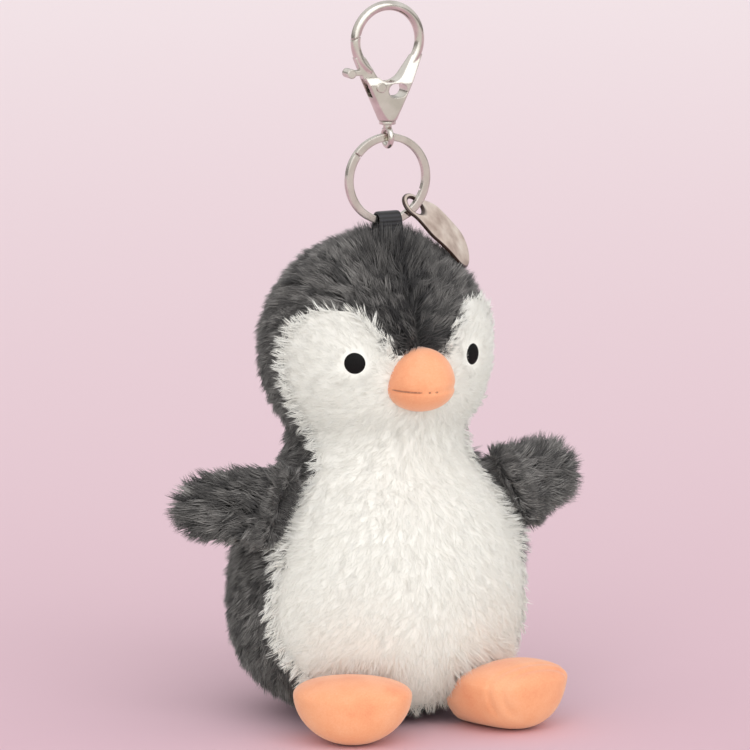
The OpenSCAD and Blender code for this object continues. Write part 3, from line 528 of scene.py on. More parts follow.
# Face panel: white plush with two cheek lobes, short in the pile, brushed outwards from the beak and parted
# round the eyes. Along the seams its pile is longer and hangs over the dark in small tufts.
WHITE_DEPTH, WHITE_SOFT = 0.8, 0.2
WHITE_COATS = [
    dict(per_mm2=3.6, spread=1.2, tuft=5, length=3.2, lean=79, thick=0.05, pull=0.12, reach=EVERYWHERE),
    dict(per_mm2=7.0, spread=1.1, tuft=11, length=4.6, lean=66, thick=0.1, pull=0.6, reach=3.5)]
BEAK_WIDE, BEAK_UP, BEAK_DOWN, MOUTH_Z, BEAK_RIM = 9.3, 10.8, 6.8, 95, 1.2
EYE_ACROSS, EYE_TURN, EYE_RIM = 6, math.radians(34), 0.3
BEAK_ROOT, EYE_PARTS, EYE_CLOSE = np.array([0, -34, 93]), 2.5, 4


def eye_spot(side, inset):
    """Place of an eye on the torso at a depth, and the way it faces."""
    return torso_at(up_side(EYE_Z), side * EYE_TURN, inset)


def under_beak_and_eyes(point):
    """True inside the beak's oval, less a rim, and inside a circle round each eye."""
    x, _, z = point.T
    tall = np.where(z > MOUTH_Z, BEAK_UP, BEAK_DOWN)
    bare = (x / (BEAK_WIDE - BEAK_RIM)) ** 2 + ((z - MOUTH_Z) / (tall - BEAK_RIM)) ** 2 <= 1
    for side in (-1, 1):
        bare |= np.linalg.norm(point - eye_spot(side, WHITE_DEPTH)[0], axis=-1) <= EYE_ACROSS / 2 + EYE_RIM
    return bare


def face_comb(point):
    """Away from the beak, and away from an eye close by it."""
    flow = unit(point - BEAK_ROOT)
    for side in (-1, 1):
        away = point - eye_spot(side, WHITE_DEPTH)[0]
        far = np.linalg.norm(away, axis=-1, keepdims=True)
        flow += EYE_PARTS * near(far, 0, EYE_ACROSS / 2, EYE_CLOSE) * away / far
    return flow, 1.0, 1.0, 0.0


panel = torso_panel("face_panel", 31, face_comb, WHITE_DEPTH, WHITE_COATS, WHITE_SOFT, white_plush,
                    under_beak_and_eyes)


# Belly panel: white plush from the neck to the seat, brushed down and out over the seams, with tufts over the
# feet. The stuffing of body and head lies behind it and never shows.
TUFT_ACROSS, TUFT_Z, FRINGE_FROM, FRINGE_Z = (17, 8.4, 6), (17, 4, 5), 27, (58, 6.3, 9)
TUFT_LONG, TUFT_STAND, FRINGE_LONG, FRINGE_STAND = 1.1, 0.5, 0.7, 0.3
BELLY_FALL, FRINGE_WAY = np.array([0, 0, -26.0]), np.array([0, 30.0, 14.0])


def belly_comb(point):
    """Down the belly and outwards from its middle; longer and standing off over the feet and by the
    flippers."""
    x, _, z = point.T
    over = near(np.abs(x), *TUFT_ACROSS) * near(z, *TUFT_Z)
    edge = ease((np.abs(x) - FRINGE_FROM) / 4) * near(z, *FRINGE_Z)
    flow = point * np.array([1.0, 0, 0]) + BELLY_FALL + edge[:, None] * FRINGE_WAY
    return flow, 1 + TUFT_LONG * over + FRINGE_LONG * edge, 1 - TUFT_STAND * over - FRINGE_STAND * edge, 0.0


panel = torso_panel("belly_panel", 32, belly_comb, WHITE_DEPTH, WHITE_COATS, WHITE_SOFT, white_plush)
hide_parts("body_stuffing")

# Flippers: two dark panels each, sewn round the edge, stuffed thin and sewn to the shoulder along the root.
# Their pile is longer and runs out past the tip.
FLIP_LEN, FLIP_ROOT, FLIP_TIP, FLIP_THICK, FLIP_THIN = 23.5, 25, 14, 9, 0.36
FLIP_Z, FLIP_TURN, FLIP_SWEEP, FLIP_DROOP = 59.5, math.radians(70), math.radians(24), {-1: 0.34, 1: 0.22}
FLIP_PILE, FLIP_LEAN, FLIP_PER_MM2, FLIP_DEPTH, FLIP_CLOTH = (5.25, 7.875), 62, 8.4, 2.4, 0.8
FLIP_SOWN, FLIP_KEPT, FLIP_SPREAD, FLIP_SWIRL = (-1.2, 0.99), (-0.97, 0.985), (0.045, 0.13), 22
EDGE_FLARE, ROOT_LEAN, ROOT_STAND, ROOT_ROWS, FLIP_ROWS, FLIP_COLS = 0.7, 8, 50, 8, 28, 21
SOFT_GAP, GOLDEN = 0.4, 0.618034
flip_r = torso_radius(FLIP_Z)
flip_slope = torso_radius(FLIP_Z + 0.5) - torso_radius(FLIP_Z - 0.5)
flip_q = torso_depth(FLIP_Z)
flip_seam = unit([flip_slope * math.sin(FLIP_TURN), -flip_q * flip_slope * math.cos(FLIP_TURN), 1])
flip_out = unit([flip_q * math.sin(FLIP_TURN), -math.cos(FLIP_TURN), -flip_q * flip_slope])
flip_at = np.array([flip_r * math.sin(FLIP_TURN), -flip_q * flip_r * math.cos(FLIP_TURN), FLIP_Z])
flip_at = flip_at + (FLIP_THICK / 2 + SOFT_GAP) * flip_out
flip_aim = np.array([math.cos(FLIP_SWEEP), math.sin(FLIP_SWEEP), 0])
flip_span = unit(flip_aim - (flip_aim @ flip_seam) * flip_seam)
flip_face = np.cross(flip_seam, flip_span)


def flipper_at(t, a, inset, side):
    """The flipper's surface, t from -1 behind the shoulder seam to 1 at the tip and a round its section: an
    oval that tapers in width and thickness, closing to a round tip and a round root."""
    end = np.where(t < 0.5, 1, np.sqrt(np.clip(1 - (np.maximum(t - 0.5, 0) / 0.5) ** 2.4, 0, 1)))
    thick = np.where(t < 0, FLIP_THICK / 2 * np.sqrt(np.clip(1 - t * t, 0, 1)),
                     (FLIP_THICK / 2 + (FLIP_THICK * FLIP_THIN - FLIP_THICK / 2) * t) * end)
    half_wide = np.where(t < 0, FLIP_ROOT / 2 * (1 + 0.08 * t),
                         (FLIP_ROOT + (FLIP_TIP - FLIP_ROOT) * t) / 2 * end)
    s = np.where(t < 0, t * (FLIP_THICK / 2 - inset), t * (FLIP_LEN - inset))
    c = half_wide * (1 - 2 * inset / FLIP_ROOT) * np.sin(a) - FLIP_DROOP[side] * np.maximum(0, s)
    y = thick * (1 - 2 * inset / FLIP_THICK) * np.cos(a)
    return flip_at + s[..., None] * flip_span + c[..., None] * flip_seam + y[..., None] * flip_face


def flipper_panel(name, seed, first, side):
    """Half a flipper: its backing over half the section, from the angle first on, and its pile, sown evenly
    by golden-ratio steps, combed along the span and off the edges, and standing up behind the shoulder
    seam."""
    rng = np.random.default_rng(seed)
    tuft = DARK_COAT["tuft"]
    locks = int(FLIP_LEN * FLIP_ROOT * FLIP_PER_MM2 / tuft)
    along, turned = (np.arange(locks) + rng.random(locks)) / locks, (np.arange(locks) * GOLDEN) % 1
    t = FLIP_SOWN[0] + (FLIP_SOWN[1] - FLIP_SOWN[0]) * along
    t = np.clip(np.repeat(t, tuft) + rng.normal(0, FLIP_SPREAD[0], locks * tuft), *FLIP_KEPT)
    a = np.repeat(first + np.pi * turned, tuft) + rng.normal(0, FLIP_SPREAD[1], locks * tuft)
    root = flipper_at(t, a, FLIP_DEPTH, side)
    step_t = flipper_at(t + 0.01, a, FLIP_DEPTH, side) - root
    step_a = flipper_at(t, a + 0.01, FLIP_DEPTH, side) - root
    flow = flip_span + (EDGE_FLARE * np.sin(a) ** 3 * ease(t + 0.4) - FLIP_DROOP[side])[:, None] * flip_seam
    length = FLIP_PILE[0] + (FLIP_PILE[1] - FLIP_PILE[0]) * ease(t)
    lean = FLIP_LEAN + ROOT_LEAN * ease(-1.2 * t) - ROOT_STAND * ease(-6 * t - 4.7)
    mirror = np.array([side, 1, 1])
    pile = strands(rng, root * mirror, unit(np.cross(step_a, step_t)) * mirror, flow * mirror,
                   np.repeat(np.arange(locks), tuft), length, lean, DARK_COAT["thick"], DARK_COAT["pull"],
                   DARK_SOFT, swirl=FLIP_SWIRL)
    rows = np.concatenate([np.linspace(-1, 0, ROOT_ROWS), np.linspace(0, 1, FLIP_ROWS)[1:]])
    grid_t, grid_turn = np.meshgrid(rows, first + np.pi * np.linspace(0, 1, FLIP_COLS), indexing="ij")
    if side > 0:
        grid_turn = grid_turn[:, ::-1]
    outer = flipper_at(grid_t, grid_turn, FLIP_DEPTH, side) * mirror
    inner = flipper_at(grid_t, grid_turn, FLIP_DEPTH + FLIP_CLOTH, side) * mirror
    made = plush(name, sealed(outer, inner, np.ones(np.subtract(grid_t.shape, 1), bool)), [pile], dark_plush)
    return made


for side, sign, seed in (("right", -1, 41), ("left", 1, 43)):
    front = flipper_panel(f"{side}_flipper_front", seed, quarter, sign)
    back = flipper_panel(f"{side}_flipper_back", seed + 1, -quarter, sign)
    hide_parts(f"{side}_flipper_front", f"{side}_flipper_stuffing")
    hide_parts(f"{side}_flipper_back")
    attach(front, f"{side}_flipper")
    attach(back, f"{side}_flipper")


# Back panels: right and left half of the dark back, sides and seat, sewn together down the middle.
# The pile is brushed downwards, and stands up where the flippers are sewn on.
BACK_FALL, SEAT_FROM, SHOULDER_FADE = np.array([0, 0.25, -1.0]), 8, 5
SHOULDER_LONG, SHOULDER_STAND = 0.4, 0.6


def back_comb(point):
    """Down and a little backwards; outwards under the seat, and standing up round the flippers' roots."""
    out = unit(point * np.array([1, 1, 0]))
    off = np.c_[np.abs(point[:, 0]), point[:, 1:]] - flip_at
    along = np.clip(off @ flip_seam, -FLIP_ROOT / 2, FLIP_ROOT / 2)
    root = near(np.linalg.norm(off - along[:, None] * flip_seam, axis=-1), 0, FLIP_THICK, SHOULDER_FADE)
    flow = BACK_FALL + out * ease((SEAT_FROM - point[:, 2]) / SEAT_FROM)[:, None]
    return flow, 1 + SHOULDER_LONG * root, 1 - SHOULDER_STAND * root, 0.0


for side, seed in (("right", 21), ("left", 22)):
    panel = torso_panel(f"{side}_back_panel", seed, back_comb, DARK_DEPTH, [DARK_COAT], DARK_SOFT,
                        dark_plush)

# Feet: an upper and a sole of orange short-pile velour each, sewn together low round the edge and stuffed
# plump. They stick out in front, toes apart, and lie flat on the seat's level.
FOOT_WIDE, FOOT_HIGH, FOOT_SEAM, FOOT_AT, FOOT_CUT = 33, 19, 13.5, (23, 35), 0.5
TOE_LEN, HEEL_LEN, FOOT_SPLAY = 16, 13, math.radians(25)
FOOT_PLAN, FOOT_OVER, FOOT_UNDER = (0.45, 2.4, 0.3), (0.4, 2.2, 0.3), (0.5, 2.6, 0.0)
FOOT_TURNS, FOOT_ROWS, TOE_ROWS, TOE_FROM, FOOT_SEARCH, HALVINGS = 72, 40, 14, 0.9, (-45.0, 25.0), 16
FOOT_INSET, FOOT_MESH, FOOT_SWELL, FOOT_LOWEST = 0.35, 0.7, 1.0, 0.05
SEAM_HELD, BODY_HELD, GROUND_HELD = 0.45, 1.5, 0.6
CREASES, CREASE_SLANT, CREASE_LOW, CREASE_CORE = ((4.2, 0.8, 0.55), (7.5, 0.7, 0.35)), 0.12, 4, 0.7
foot_dir = np.array([math.sin(FOOT_SPLAY), -math.cos(FOOT_SPLAY), 0])
foot_side = np.array([math.cos(FOOT_SPLAY), math.sin(FOOT_SPLAY), 0])
foot_mid = np.array([FOOT_AT[0], -FOOT_AT[1], 0])


def blunt(u, start, power, share):
    """A share of the full width: short of it by share at u = 0, rising to it along a square at start, then
    closing to a blunt end of that power at u = 1."""
    rising = 1 - share * (1 - np.minimum(u, start) / start) ** 2
    closing = np.clip(1 - (np.maximum(u - start, 0) / (1 - start)) ** power, 0, 1) ** (1 / power)
    return np.where(u < start, rising, closing)


def foot_section(u, a, inset):
    """Width and height of the foot's section: half an oval above the seam, half a flatter one cut by the
    ground."""
    wide = (FOOT_WIDE / 2 - inset) * blunt(u, *FOOT_PLAN) * np.cos(a)
    over = (FOOT_HIGH - FOOT_SEAM - inset) * blunt(u, *FOOT_OVER) * np.sin(a)
    under = (FOOT_SEAM - inset + FOOT_CUT) * blunt(u, *FOOT_UNDER) * np.sin(a)
    return wide, np.where(np.sin(a) >= 0, FOOT_SEAM + over, np.maximum(inset, FOOT_SEAM + under))


def foot_at(u, a, inset):
    """The foot's surface, u from the body to the toe and a round the section. Each line starts on the body's
    surface, which halving steps find, and runs to the toe."""
    wide, high = foot_section(0 * u, a, inset)
    low, far = np.full(u.shape, FOOT_SEARCH[0]), np.full(u.shape, FOOT_SEARCH[1])
    for _ in range(HALVINGS):
        s = (low + far) / 2
        p = foot_mid + wide[..., None] * foot_side + s[..., None] * foot_dir
        r = torso_radius(high) + SOFT_GAP
        inside = (p[..., 0] / r) ** 2 + (p[..., 1] / (torso_depth(high) * r)) ** 2 < 1
        low, far = np.where(inside, s, low), np.where(inside, far, s)
    start = np.maximum(far, -HEEL_LEN)
    wide, high = foot_section(u, a, inset)
    s = start + (TOE_LEN - inset - start) * u
    flat = foot_mid + wide[..., None] * foot_side + s[..., None] * foot_dir
    return flat + high[..., None] * np.array([0, 0, 1])


def ring_faces(rows, cols):
    """Quads of a tube of rows rings, each ring closed."""
    i, j = np.meshgrid(np.arange(rows - 1), np.arange(cols), indexing="ij")
    k = (j + 1) % cols
    return np.stack([i * cols + j, i * cols + k, (i + 1) * cols + k, (i + 1) * cols + j], -1).reshape(-1, 4)


def capped(rings, start, end):
    """A closed skin over rings of points: quads between the rings and a fan of triangles to a point at each
    end. Returns points and faces."""
    rows, cols = rings.shape[:2]
    here, then = np.arange(cols), (np.arange(cols) + 1) % cols
    last, count = cols * (rows - 1), rows * cols
    return np.concatenate([rings.reshape(-1, 3), [start], [end]]), [
        ring_faces(rows, cols), np.stack([then, here, np.full(cols, count)], -1),
        np.stack([here + last, then + last, np.full(cols, count + 1)], -1)]


def swell(name, points, faces, held, voxel, cap, frames=20, grown=10, pressure=4, quality=5):
    """A stuffed cover by cloth simulation: the shape is remeshed at ten times its size, where the cloth
    acts as it does on a cushion, held along its seam and swollen by pressure, each point moving by the cap
    at most. Returns its points in millimetres and its faces."""
    to_mm = 1000 / grown
    made = new_object(name, points * grown, faces, bpy.data.materials.new(name + "_trial"))
    remesh = made.modifiers.new("remesh", "REMESH")
    remesh.mode = "VOXEL"
    remesh.voxel_size = voxel / to_mm
    mesh = bpy.data.meshes.new_from_object(made.evaluated_get(bpy.context.evaluated_depsgraph_get()))
    made.modifiers.clear()
    made.data = mesh
    before = np.empty(len(mesh.vertices) * 3, np.float32)
    mesh.vertices.foreach_get("co", before)
    before = before.reshape(-1, 3).astype(float) * to_mm
    after = before
    group = made.vertex_groups.new(name="held")
    group.add(np.nonzero(held(before))[0].tolist(), 1.0, "REPLACE")
    cloth = made.modifiers.new("cloth", "CLOTH")
    cloth.settings.vertex_group_mass = "held"
    cloth.settings.use_pressure = True
    cloth.settings.uniform_pressure_force = pressure
    cloth.settings.effector_weights.gravity = 0
    cloth.settings.quality = quality
    for step in range(1, frames + 1):
        scene.frame_set(step)
    result = made.evaluated_get(bpy.context.evaluated_depsgraph_get()).to_mesh()
    after = np.empty(len(result.vertices) * 3, np.float32)
    result.vertices.foreach_get("co", after)
    after = after.reshape(-1, 3).astype(float) * to_mm
    scene.frame_set(1)
    move = after - before
    far = np.linalg.norm(move, axis=-1, keepdims=True)
    loops = np.empty(len(mesh.loops), np.int32)
    mesh.loops.foreach_get("vertex_index", loops)
    bpy.data.objects.remove(made)
    return before + move * np.minimum(1, cap / np.maximum(far, 1e-9)), loops.reshape(-1, 4)


# Short upright pile looks matt and soft, with a glow at the edges. Its colour is clouded with painted sheen,
# as pile stroked different ways catches the light. The fibres are drawn coarser than they are, so that they
# show.
VELOUR_COLOURS, STROKE_SHEEN_MM, FIBRE_MM = ("#F09A72", "#F6AA80", "#FBB891"), 9, 0.45
orange_velour, tree, shader = new_material("orange_short_pile_velour", Roughness=0.88, Specular_IOR_Level=0.2,
                                           Sheen_Weight=0.35, Sheen_Roughness=0.45)
where = node(tree, "ShaderNodeTexCoord").outputs["Object"]
stroke_sheen = node(tree, "ShaderNodeTexNoise", {"Vector": where}, in_Scale=1000 / STROKE_SHEEN_MM, in_Detail=3.0)
fibre = node(tree, "ShaderNodeTexNoise", {"Vector": where}, in_Scale=1000 / FIBRE_MM, in_Detail=2.0)
tone = node(tree, "ShaderNodeMix", {2: stroke_sheen.outputs["Fac"], 3: fibre.outputs["Fac"]}, in_0=0.35).outputs[0]
colour = node(tree, "ShaderNodeValToRGB", {"Fac": tone}, stops=list(zip((0.3, 0.5, 0.72), VELOUR_COLOURS)))
tree.links.new(colour.outputs["Color"], shader.inputs["Base Color"])
bump = node(tree, "ShaderNodeBump", {"Height": fibre.outputs["Fac"]}, in_Strength=0.35, in_Distance=0.00012)
tree.links.new(bump.outputs["Normal"], shader.inputs["Normal"])

toe = TOE_FROM + (1 - TOE_FROM) * np.sin(np.linspace(0, quarter, TOE_ROWS)[1:])
u = np.concatenate([np.linspace(0, TOE_FROM, FOOT_ROWS), toe])
grid_u, grid_turn = np.meshgrid(u, np.linspace(0, 2 * np.pi, FOOT_TURNS, endpoint=False), indexing="ij")
foot_rings = foot_at(grid_u, grid_turn, FOOT_INSET)


def sewn_round(p):
    """True near the foot's seam, and where it meets the body and the ground."""
    r = torso_radius(p[:, 2]) + BODY_HELD
    body = (p[:, 0] / r) ** 2 + (p[:, 1] / torso_depth(p[:, 2]) / r) ** 2 < 1
    return (np.abs(p[:, 2] - FOOT_SEAM) < SEAM_HELD) | body | (p[:, 2] < GROUND_HELD)


def creased(p):
    """Soft creases across the toe, each a distance from it, a width and a depth: rounded dips, fading at the
    ground."""
    reach = TOE_LEN - (p - foot_mid) @ foot_dir + CREASE_SLANT * ((p - foot_mid) @ foot_side)
    dip = sum(deep * np.exp(-((reach - far) / wide) ** 2) for far, wide, deep in CREASES)
    out = unit(p - np.array([foot_mid[0], foot_mid[1], FOOT_SEAM * CREASE_CORE]))
    return p - (dip * ease((p[:, 2] - CREASE_LOW) / CREASE_LOW))[:, None] * out


foot_points, foot_faces = capped(foot_rings, foot_rings[0].mean(0), foot_rings[-1].mean(0))
foot_skin, foot_cells = swell("foot_trial", foot_points, foot_faces, sewn_round, FOOT_MESH, FOOT_SWELL)
foot_skin[:, 2] = np.maximum(foot_skin[:, 2], FOOT_LOWEST)
for side, sign in (("right", -1), ("left", 1)):
    mirrored = (creased(foot_skin) if sign > 0 else foot_skin) * np.array([sign, 1, 1])
    foot = new_object(f"{side}_foot_cover", mirrored, [foot_cells[:, ::-1] if sign < 0 else foot_cells],
                      orange_velour)
    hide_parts(f"{side}_foot_upper", f"{side}_foot_sole", f"{side}_foot_stuffing")
    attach(foot, f"{side}_foot")

# Beak: a blunt stuffed dome of the same velour, upper and lower piece sewn together at the mouth.
# It is sewn to the face all round, under the tip of the dark peak.
BEAK_OUT, BEAK_TURNS, BEAK_ROWS, BEAK_LAST, BEAK_SEAT, BEAK_FLAT = 9, 96, 36, 0.985, 3.5, 0.12
MOUTH_DEEP, MOUTH_WIDE = 0.35, 0.9


def front_y(x, z, gap=0.3):
    """How far forward the torso's front is at x, z, plus a gap, from the oval of its section."""
    return -torso_depth(z) * np.sqrt(np.maximum((torso_radius(z) + gap) ** 2 - x ** 2, 0))


def beak_at(u, a):
    """The beak's surface, u from the face to the tip and a round it: an oval, deeper above the mouth,
    lifted off the face along a quarter of a sine, a little less on top."""
    x = BEAK_WIDE * np.cos(a) * np.cos(quarter * u)
    z = MOUTH_Z + np.where(np.sin(a) >= 0, BEAK_UP, BEAK_DOWN) * np.sin(a) * np.cos(quarter * u)
    lift = BEAK_OUT * np.sin(quarter * u) * (1 - BEAK_FLAT * np.maximum(0, np.sin(a)) * np.cos(quarter * u))
    return np.stack([x, front_y(x, z) - lift, z], -1)


def mouth_dip(u, a):
    """Depth of the sewn mouth: a bell curve of the distance from the seam, along both sides of the section,
    starting over the first quarter from the face."""
    off = np.minimum(np.abs(np.sin(a / 2)), np.abs(np.cos(a / 2))) * 2 * BEAK_WIDE * np.cos(quarter * u)
    return MOUTH_DEEP * np.exp(-(off / MOUTH_WIDE) ** 2) * ease(u * 4)


grid_u, grid_turn = np.meshgrid(np.linspace(0, BEAK_LAST, BEAK_ROWS),
                                np.linspace(0, 2 * np.pi, BEAK_TURNS, endpoint=False), indexing="ij")
beak_rings = beak_at(grid_u, grid_turn)
centre = np.array([0, front_y(0.0, MOUTH_Z), MOUTH_Z])
beak_rings -= mouth_dip(grid_u, grid_turn)[..., None] * unit(beak_rings - centre)
seat = beak_rings[0] + np.array([0, BEAK_SEAT, 0])
beak_points, beak_faces = capped(np.concatenate([seat[None], beak_rings]), seat.mean(0), beak_at(1.0, 0.0))
beak = new_object("beak_cover", beak_points, [f[:, ::-1] for f in beak_faces], orange_velour)
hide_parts("beak_upper", "beak_lower", "beak_stuffing")
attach(beak, "torso")

# Mouth: brown thread sewn along the beak's seam by hand.
# One long stitch starts at the right corner, and short ones follow it. Each lies in the seam's groove.
MOUTH_STITCHES, THREAD_THICK, PLY_MM = ((177, 114), (104, 100), (92, 87)), 0.22, 0.4
THREAD_SIDES, THREAD_STEPS, STITCH_IN, STITCH_SUNK = 8, 24, 0.25, 0.3


def thread_along(path, thick):
    """A thread along a path with rounded ends: rings square to the path, thinning over the last steps."""
    way = unit(np.gradient(path, axis=0))
    side = unit(np.cross([0, 0, 1.0], way))
    above = np.cross(way, side)
    girth = thick * np.sqrt(np.clip(1 - np.abs(np.linspace(-1, 1, len(path))) ** 8, 0.02, 1))
    a = np.linspace(0, 2 * np.pi, THREAD_SIDES, endpoint=False)[:, None]
    return path[:, None] + girth[:, None, None] * (np.cos(a) * side[:, None] + np.sin(a) * above[:, None])


# Spun thread is matt, and its plies show as a light and dark speckle
brown_thread, tree, shader = new_material("brown_spun_thread", Roughness=0.6, Sheen_Weight=0.2)
where = node(tree, "ShaderNodeTexCoord").outputs["Object"]
ply = node(tree, "ShaderNodeTexNoise", {"Vector": where}, in_Scale=1000 / PLY_MM).outputs["Fac"]
colour = node(tree, "ShaderNodeValToRGB", {"Fac": ply}, stops=[(0.35, "#9C6144"), (0.7, "#C58A66")])
tree.links.new(colour.outputs["Color"], shader.inputs["Base Color"])
mouth_points, mouth_faces = [], []
for first, last in MOUTH_STITCHES:
    a = np.radians(np.linspace(first, last, THREAD_STEPS))
    x, z = (BEAK_WIDE - STITCH_IN) * np.cos(a), np.full(THREAD_STEPS, float(MOUTH_Z))
    y = front_y(x, z) - (BEAK_OUT - STITCH_SUNK) * np.sin(a)
    rings = thread_along(np.stack([x, y, z], -1), THREAD_THICK)
    start = len(mouth_points) * THREAD_STEPS * THREAD_SIDES
    end = np.arange(THREAD_SIDES)[None]
    mouth_points.append(rings.reshape(-1, 3))
    mouth_faces += [start + ring_faces(THREAD_STEPS, THREAD_SIDES), start + end[:, ::-1],
                    start + end + THREAD_SIDES * (THREAD_STEPS - 1)]
mouth = new_object("mouth_stitch", np.concatenate(mouth_points), mouth_faces, brown_thread)
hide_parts("mouth_stitch")
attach(mouth, "torso")

# Eyes: a round patch of black satin stitch each, sewn through the face and drawn a little into the pile.
# Upright threads lie side by side over it. They give a soft black with hardly any shine.
STITCH_MM, STITCH_RIDGE, EYE_HIGH, EYE_SUNK, EYE_SKIRT, EYE_DOME = 0.42, 0.1, 1.1, 1.3, 1.8, 2.6
EYE_ROWS, EYE_TURNS = 28, 72
black_thread, tree, shader = new_material("black_satin_stitch", Roughness=0.6, Specular_IOR_Level=0.2)
where = node(tree, "ShaderNodeTexCoord").outputs["Object"]
lay = node(tree, "ShaderNodeTexNoise", {"Vector": where}, in_Scale=1000 / STITCH_MM).outputs["Fac"]
colour = node(tree, "ShaderNodeValToRGB", {"Fac": lay}, stops=[(0.35, "#060606"), (0.75, "#101010")])
tree.links.new(colour.outputs["Color"], shader.inputs["Base Color"])
for side, sign in (("right", -1), ("left", 1)):
    far, turn = np.meshgrid(np.linspace(0, 1, EYE_ROWS), np.linspace(0, 2 * np.pi, EYE_TURNS, endpoint=False),
                            indexing="ij")
    across = EYE_ACROSS / 2 * far * np.cos(turn)
    high = EYE_ACROSS / 2 * far * np.sin(turn)
    ridge = STITCH_RIDGE * np.abs(np.cos(np.pi * across / STITCH_MM)) * (far < 0.97)
    lift = EYE_HIGH * np.sqrt(np.clip(1 - far ** EYE_DOME, 0, 1)) + ridge - EYE_SUNK
    eye_mid, eye_normal = eye_spot(sign, 0.0)
    east = unit(np.cross([0, 0, 1.0], eye_normal))
    north = np.cross(eye_normal, east)
    rings = eye_mid + across[..., None] * east + high[..., None] * north + lift[..., None] * eye_normal
    skirt = rings[-1] - EYE_SKIRT * eye_normal
    rings = np.concatenate([rings[1:], skirt[None]])[::-1]
    top = eye_mid + (EYE_HIGH + STITCH_RIDGE - EYE_SUNK) * eye_normal
    eye = new_object(f"{side}_eye", *capped(rings, rings[0].mean(0), top), black_thread)
    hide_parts(f"{side}_eye")
    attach(eye, "torso")

# Ribbon loop: black woven ribbon folded over the ring, both ends sewn into the crown's seam.
# It is drawn in a little where it bends round the wire.
LOOP_Z, RIBBON_THICK, RIBBON_BORE, RIBBON_FOOT, RIB_MM = 137.5, 0.8, 1.9, 129, 1.1
RIBBON_SIDES, LEG_STEPS, BEND_STEPS, EDGE_POWER, FACE_POWER = 28, 16, 40, 0.25, 0.45
DRAWN_IN, DRAWN_AT, DRAWN_LONG = 0.06, LOOP_Z + 1.5, 2.2
# Ribs across the weave catch the light in fine lines, drawn coarser than they are so that they show.
# The wave texture turns by 20 radians for each unit of its scale.
black_ribbon, tree, shader = new_material("black_woven_ribbon", Roughness=0.55, Sheen_Weight=0.15)
where = node(tree, "ShaderNodeTexCoord").outputs["Object"]
rib = node(tree, "ShaderNodeTexWave", {"Vector": where}, bands_direction="Z",
           in_Scale=1000 / RIB_MM * 2 * math.pi / 20, in_Distortion=0.4).outputs["Fac"]
colour = node(tree, "ShaderNodeValToRGB", {"Fac": rib}, stops=[(0.1, "#141416"), (0.9, "#2E2E33")])
tree.links.new(colour.outputs["Color"], shader.inputs["Base Color"])
bump = node(tree, "ShaderNodeBump", {"Height": rib}, in_Strength=0.5, in_Distance=0.0001)
tree.links.new(bump.outputs["Normal"], shader.inputs["Normal"])
mid_r = RIBBON_BORE + RIBBON_THICK / 2
turn = np.linspace(np.pi, 0, BEND_STEPS)
path = np.concatenate([
    np.stack([np.full(LEG_STEPS, -mid_r), np.linspace(RIBBON_FOOT, LOOP_Z, LEG_STEPS, endpoint=False)], -1),
    np.stack([mid_r * np.cos(turn), LOOP_Z + mid_r * np.sin(turn)], -1),
    np.stack([np.full(LEG_STEPS, mid_r), np.linspace(LOOP_Z, RIBBON_FOOT, LEG_STEPS + 1)[1:]], -1)])
outward = unit(np.stack([path[:, 0] / mid_r, np.maximum(path[:, 1] - LOOP_Z, 0) / mid_r], -1))
a = np.linspace(0, 2 * np.pi, RIBBON_SIDES, endpoint=False)
across = RIBBON_WIDE / 2 * np.sign(np.cos(a)) * np.abs(np.cos(a)) ** EDGE_POWER
over = RIBBON_THICK / 2 * np.sign(np.sin(a)) * np.abs(np.sin(a)) ** FACE_POWER
narrow = 1 - DRAWN_IN * np.exp(-((path[:, 1] - DRAWN_AT) / DRAWN_LONG) ** 2)
rings = np.stack([narrow[:, None] * across, path[:, :1] + outward[:, :1] * over - CHARM_Y,
                  path[:, 1:] + outward[:, 1:] * over], -1)
end = np.arange(RIBBON_SIDES)[None]
ribbon = new_object("ribbon_loop", rings, [ring_faces(len(path), RIBBON_SIDES)[:, ::-1], end,
                                           end[:, ::-1] + RIBBON_SIDES * (len(path) - 1)], black_ribbon)
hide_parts("ribbon_loop")
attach(ribbon, "torso")

# Tag: a blank of taupe leatherette with a dark sealed edge, punched at its narrow end and hung on the split
# ring. It lies over the head, its hole on the ring and its end resting on the pile.
TAG_LONG, TAG_WIDE, TAG_THICK, TAG_EAR, TAG_HOLE, TAG_BEND, TAG_TAPER = 28, 13, 1.1, 4.2, 2.6, 60, 9
RING_MID, TAG_TIP, TAG_FACES, TAG_RESTS, TAG_HANGS = 11.5, (31.6, -9.65, 124.4), (0.422, -0.66, 0.622), 12, 2
FLAT_STEPS, ROUND_STEPS, TAG_TURNS, EAR_STEPS, NOSE_STEPS, EDGE_STEPS = 14, 8, 160, 40, 60, 30
TAG_WAVE, WAVE_LONG, WAVE_WIDE, WAVE_FULL = 0.25, 5.0, 4.0, 10
tag_pin = np.array([RING_MID * math.cos(quarter / 2), -CHARM_Y,
                    LOOP_Z + RING_MID - RING_MID * math.sin(quarter / 2)])
tag_aim = unit(np.array(TAG_TIP) - tag_pin)
tag_up = unit(np.array(TAG_FACES) - (np.array(TAG_FACES) @ tag_aim) * tag_aim)
tag_cross = np.cross(tag_up, tag_aim)

